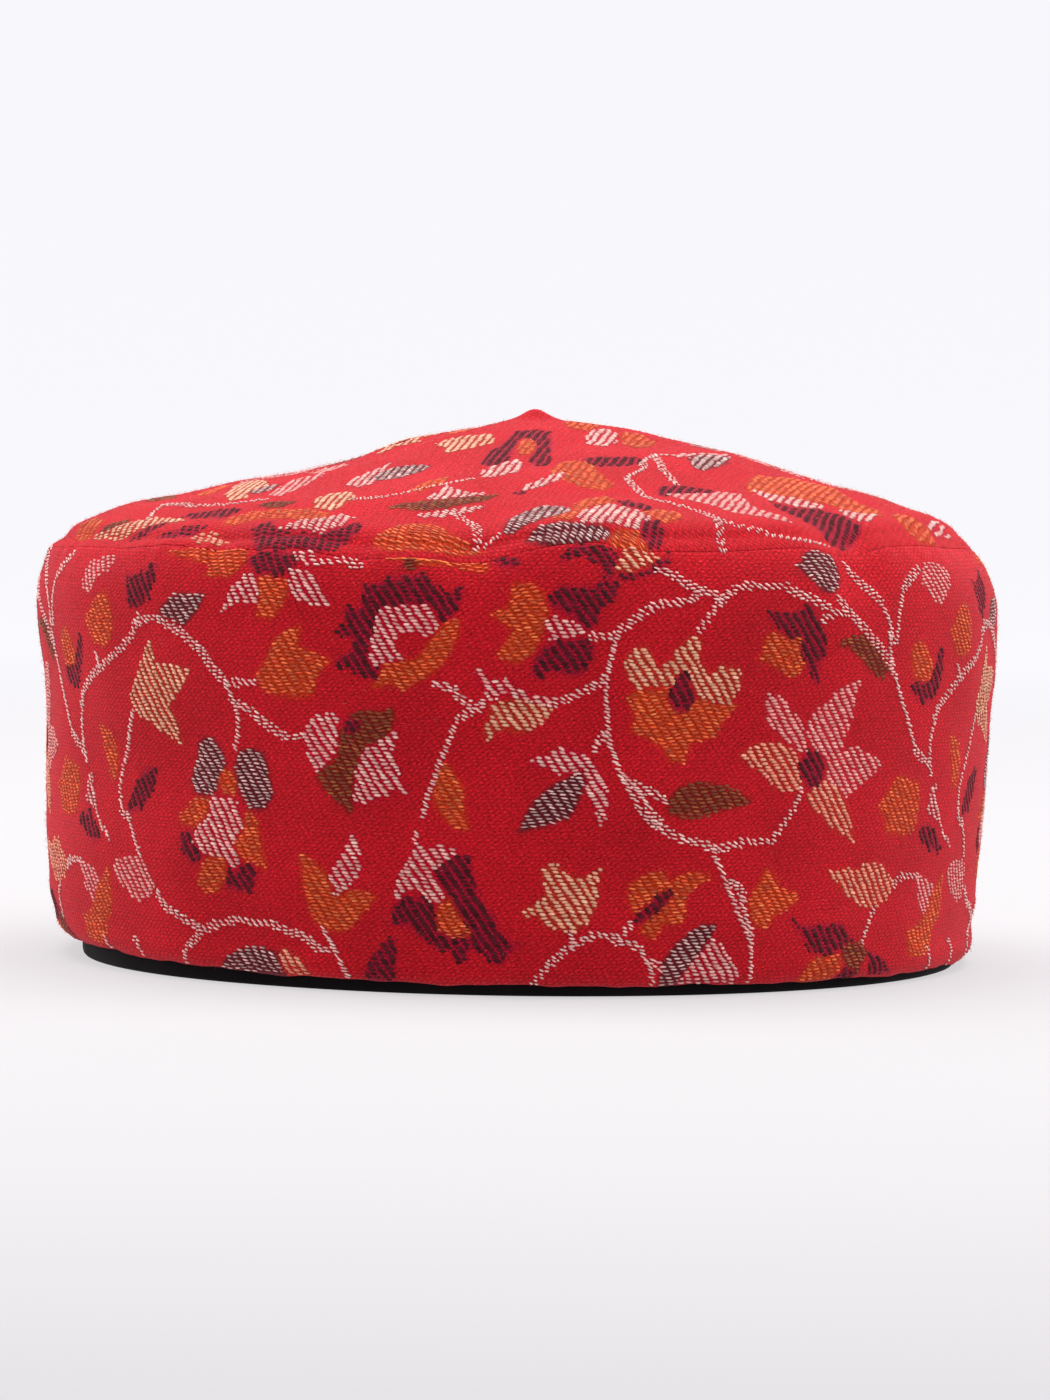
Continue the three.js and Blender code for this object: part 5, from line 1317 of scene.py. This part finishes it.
# the pale share is partly the cloth's own lighter fibres and partly a painted sheen of the fuzz
for word, share, on_crown, colour in (("red", 0.88, 10500, (0.78, 0.15, 0.20)), ("pale_sheen", 0.12, 3500, (0.88, 0.44, 0.46))):
    mat = wool_material(word + "_wool", colour)
    k = int(17000 * share)
    wool_piece("band_%s_wool" % word, rand.uniform(0, 360, k), rand.uniform(0.6, EDGE0, k), rand, mat)
    k = on_crown
    at_, radius_ = rand.uniform(-180, 180, k), 96.0 * np.sqrt(rand.uniform(0.0006, 1, k))
    t_ = solve_t(at_, -radius_, T_SEAM, T_END, lambda a_, s: -surface(a_, s)[0])
    ok = (t_ > EDGE_C0) & (radius_ < surface(at_, EDGE_C0)[0])
    wool_piece("crown_%s_wool" % word, at_[ok], t_[ok], rand, mat)

# ------------------------------------------------------------------ stage
def stage_material(name):
    """white paper: lit by the lamps near the object and glowing a little there, a painted light that lifts the cap's
    shadow; evenly bright further out
    """
    mat, nt, bsdf = new_material(name)
    link = nt.links.new
    geo = nt.nodes.new("ShaderNodeNewGeometry")
    flat = nt.nodes.new("ShaderNodeVectorMath")
    flat.operation = "LENGTH"
    link(geo.outputs["Position"], flat.inputs[0])
    far = nt.nodes.new("ShaderNodeMapRange")
    far.interpolation_type = "SMOOTHSTEP"
    far.inputs["From Min"].default_value = 0.25
    far.inputs["From Max"].default_value = 1.9
    link(flat.outputs["Value"], far.inputs["Value"])
    ramp = nt.nodes.new("ShaderNodeMix")
    ramp.data_type = "RGBA"
    link(far.outputs[0], ramp.inputs[0])
    ramp.inputs[6].default_value = (0.175, 0.169, 0.173, 1)
    ramp.inputs[7].default_value = (0.02, 0.02, 0.02, 1)
    link(ramp.outputs[2], bsdf.inputs["Base Color"])
    # the paper glows: dimly near the object, where the glow is painted light filling in the cap's shadow, and evenly
    # bright further out
    glow = nt.nodes.new("ShaderNodeMix")
    glow.data_type = "RGBA"
    link(far.outputs[0], glow.inputs[0])
    glow.inputs[6].default_value = (0.570, 0.560, 0.570, 1)
    glow.inputs[7].default_value = (0.920, 0.912, 0.950, 1)
    link(glow.outputs[2], bsdf.inputs["Emission Color"])
    # painted shade: the floor's glow falls off a little to the front of the table
    place = nt.nodes.new("ShaderNodeSeparateXYZ")
    link(geo.outputs["Position"], place.inputs[0])
    front = nt.nodes.new("ShaderNodeMapRange")
    for socket, value in (("From Min", -0.22), ("From Max", -0.62), ("To Min", 0.0), ("To Max", 1.0)):
        front.inputs[socket].default_value = value
    link(place.outputs["Y"], front.inputs["Value"])
    bend = nt.nodes.new("ShaderNodeMath")
    bend.operation = "POWER"
    link(front.outputs[0], bend.inputs[0])
    bend.inputs[1].default_value = 2.0
    near = nt.nodes.new("ShaderNodeMapRange")
    for socket, value in (("From Min", 0.0), ("From Max", 1.0), ("To Min", -0.30), ("To Max", 0.0)):
        near.inputs[socket].default_value = value
    link(far.outputs[0], near.inputs["Value"])
    strength = nt.nodes.new("ShaderNodeMath")
    strength.operation = "MULTIPLY_ADD"
    link(bend.outputs[0], strength.inputs[0])
    link(near.outputs[0], strength.inputs[1])
    strength.inputs[2].default_value = 1.0
    link(strength.outputs[0], bsdf.inputs["Emission Strength"])
    bsdf.inputs["Roughness"].default_value = 0.95
    bsdf.inputs["Specular IOR Level"].default_value = 0.05
    return mat


profile = [(0.0, 0.0), (0.4, 0.0), (1.0, 0.0), (2.0, 0.0)]
for k in range(1, 13):
    a_ = math.radians(90 * k / 12)
    profile.append((2.0 + 1.4 * math.sin(a_), 1.4 * (1 - math.cos(a_))))
profile += [(3.4, 2.4)]
SEG = 96
sv = [(0.0, 0.0, 0.0)]
for r_, z_ in profile[1:]:
    for k in range(SEG):
        a_ = 2 * math.pi * k / SEG
        sv.append((r_ * math.cos(a_), r_ * math.sin(a_), z_))
tris, quads = [], []
for k in range(SEG):
    tris.append((0, 1 + k, 1 + (k + 1) % SEG))
for j_ in range(len(profile) - 2):
    for k in range(SEG):
        a_, b_ = 1 + j_ * SEG + k, 1 + j_ * SEG + (k + 1) % SEG
        quads.append((b_, a_, a_ + SEG, b_ + SEG))
floor = make_mesh("studio_floor", np.array(sv) * 1000, [np.array(tris), np.array(quads)])
floor.data.materials.append(stage_material("studio_white"))

world = bpy.data.worlds.new("studio")
bpy.context.scene.world = world
world.use_nodes = True
world.node_tree.nodes["Background"].inputs[0].default_value = (0.985, 0.98, 1.0, 1)
world.node_tree.nodes["Background"].inputs[1].default_value = 0.565


def area(name, place_at, look_at, size, power, colour=(1, 1, 1)):
    data = bpy.data.lights.new(name, "AREA")
    data.shape = "RECTANGLE"
    data.size, data.size_y = size
    data.energy = power
    data.color = colour
    ob = bpy.data.objects.new(name, data)
    bpy.context.scene.collection.objects.link(ob)
    ob.location = place_at
    ob.rotation_euler = (Vector(look_at) - Vector(place_at)).to_track_quat("-Z", "Y").to_euler()
    return ob


area("top_soft", (0.0, 0.25, 1.5), (0, 0, 0.05), (1.6, 1.3), 34)
area("left_soft", (-1.45, 0.55, 0.9), (0, 0, 0.05), (1.0, 1.0), 14)
area("right_soft", (1.5, 0.25, 0.9), (0, 0, 0.05), (1.0, 1.0), 13)

# ------------------------------------------------------------------ camera
cam_data = bpy.data.cameras.new("camera")
cam = bpy.data.objects.new("camera", cam_data)
bpy.context.scene.collection.objects.link(cam)
cam_data.sensor_width = 36
cam_data.lens = 5570.0 / 1400 * 36
cam_data.clip_end = 50
yaw, pitch, roll = math.atan(9 / 5570), math.atan(244 / 5570), math.radians(0.83)
rot = (Matrix.Rotation(-yaw, 4, "Z") @ Matrix.Rotation(math.pi / 2 - pitch, 4, "X") @ Matrix.Rotation(roll, 4, "Z"))
cam.matrix_world = Matrix.Translation((0, -1.161, 0.104)) @ rot
bpy.context.scene.camera = cam
bpy.context.scene.view_settings.view_transform = "Standard"
bpy.context.scene.view_settings.look = "None"

print("floats", count_floats, "triangles", sum(v for k, v in TRIANGLES.items() if k != "studio_floor"),
      {k: v for k, v in TRIANGLES.items() if v > 60000})
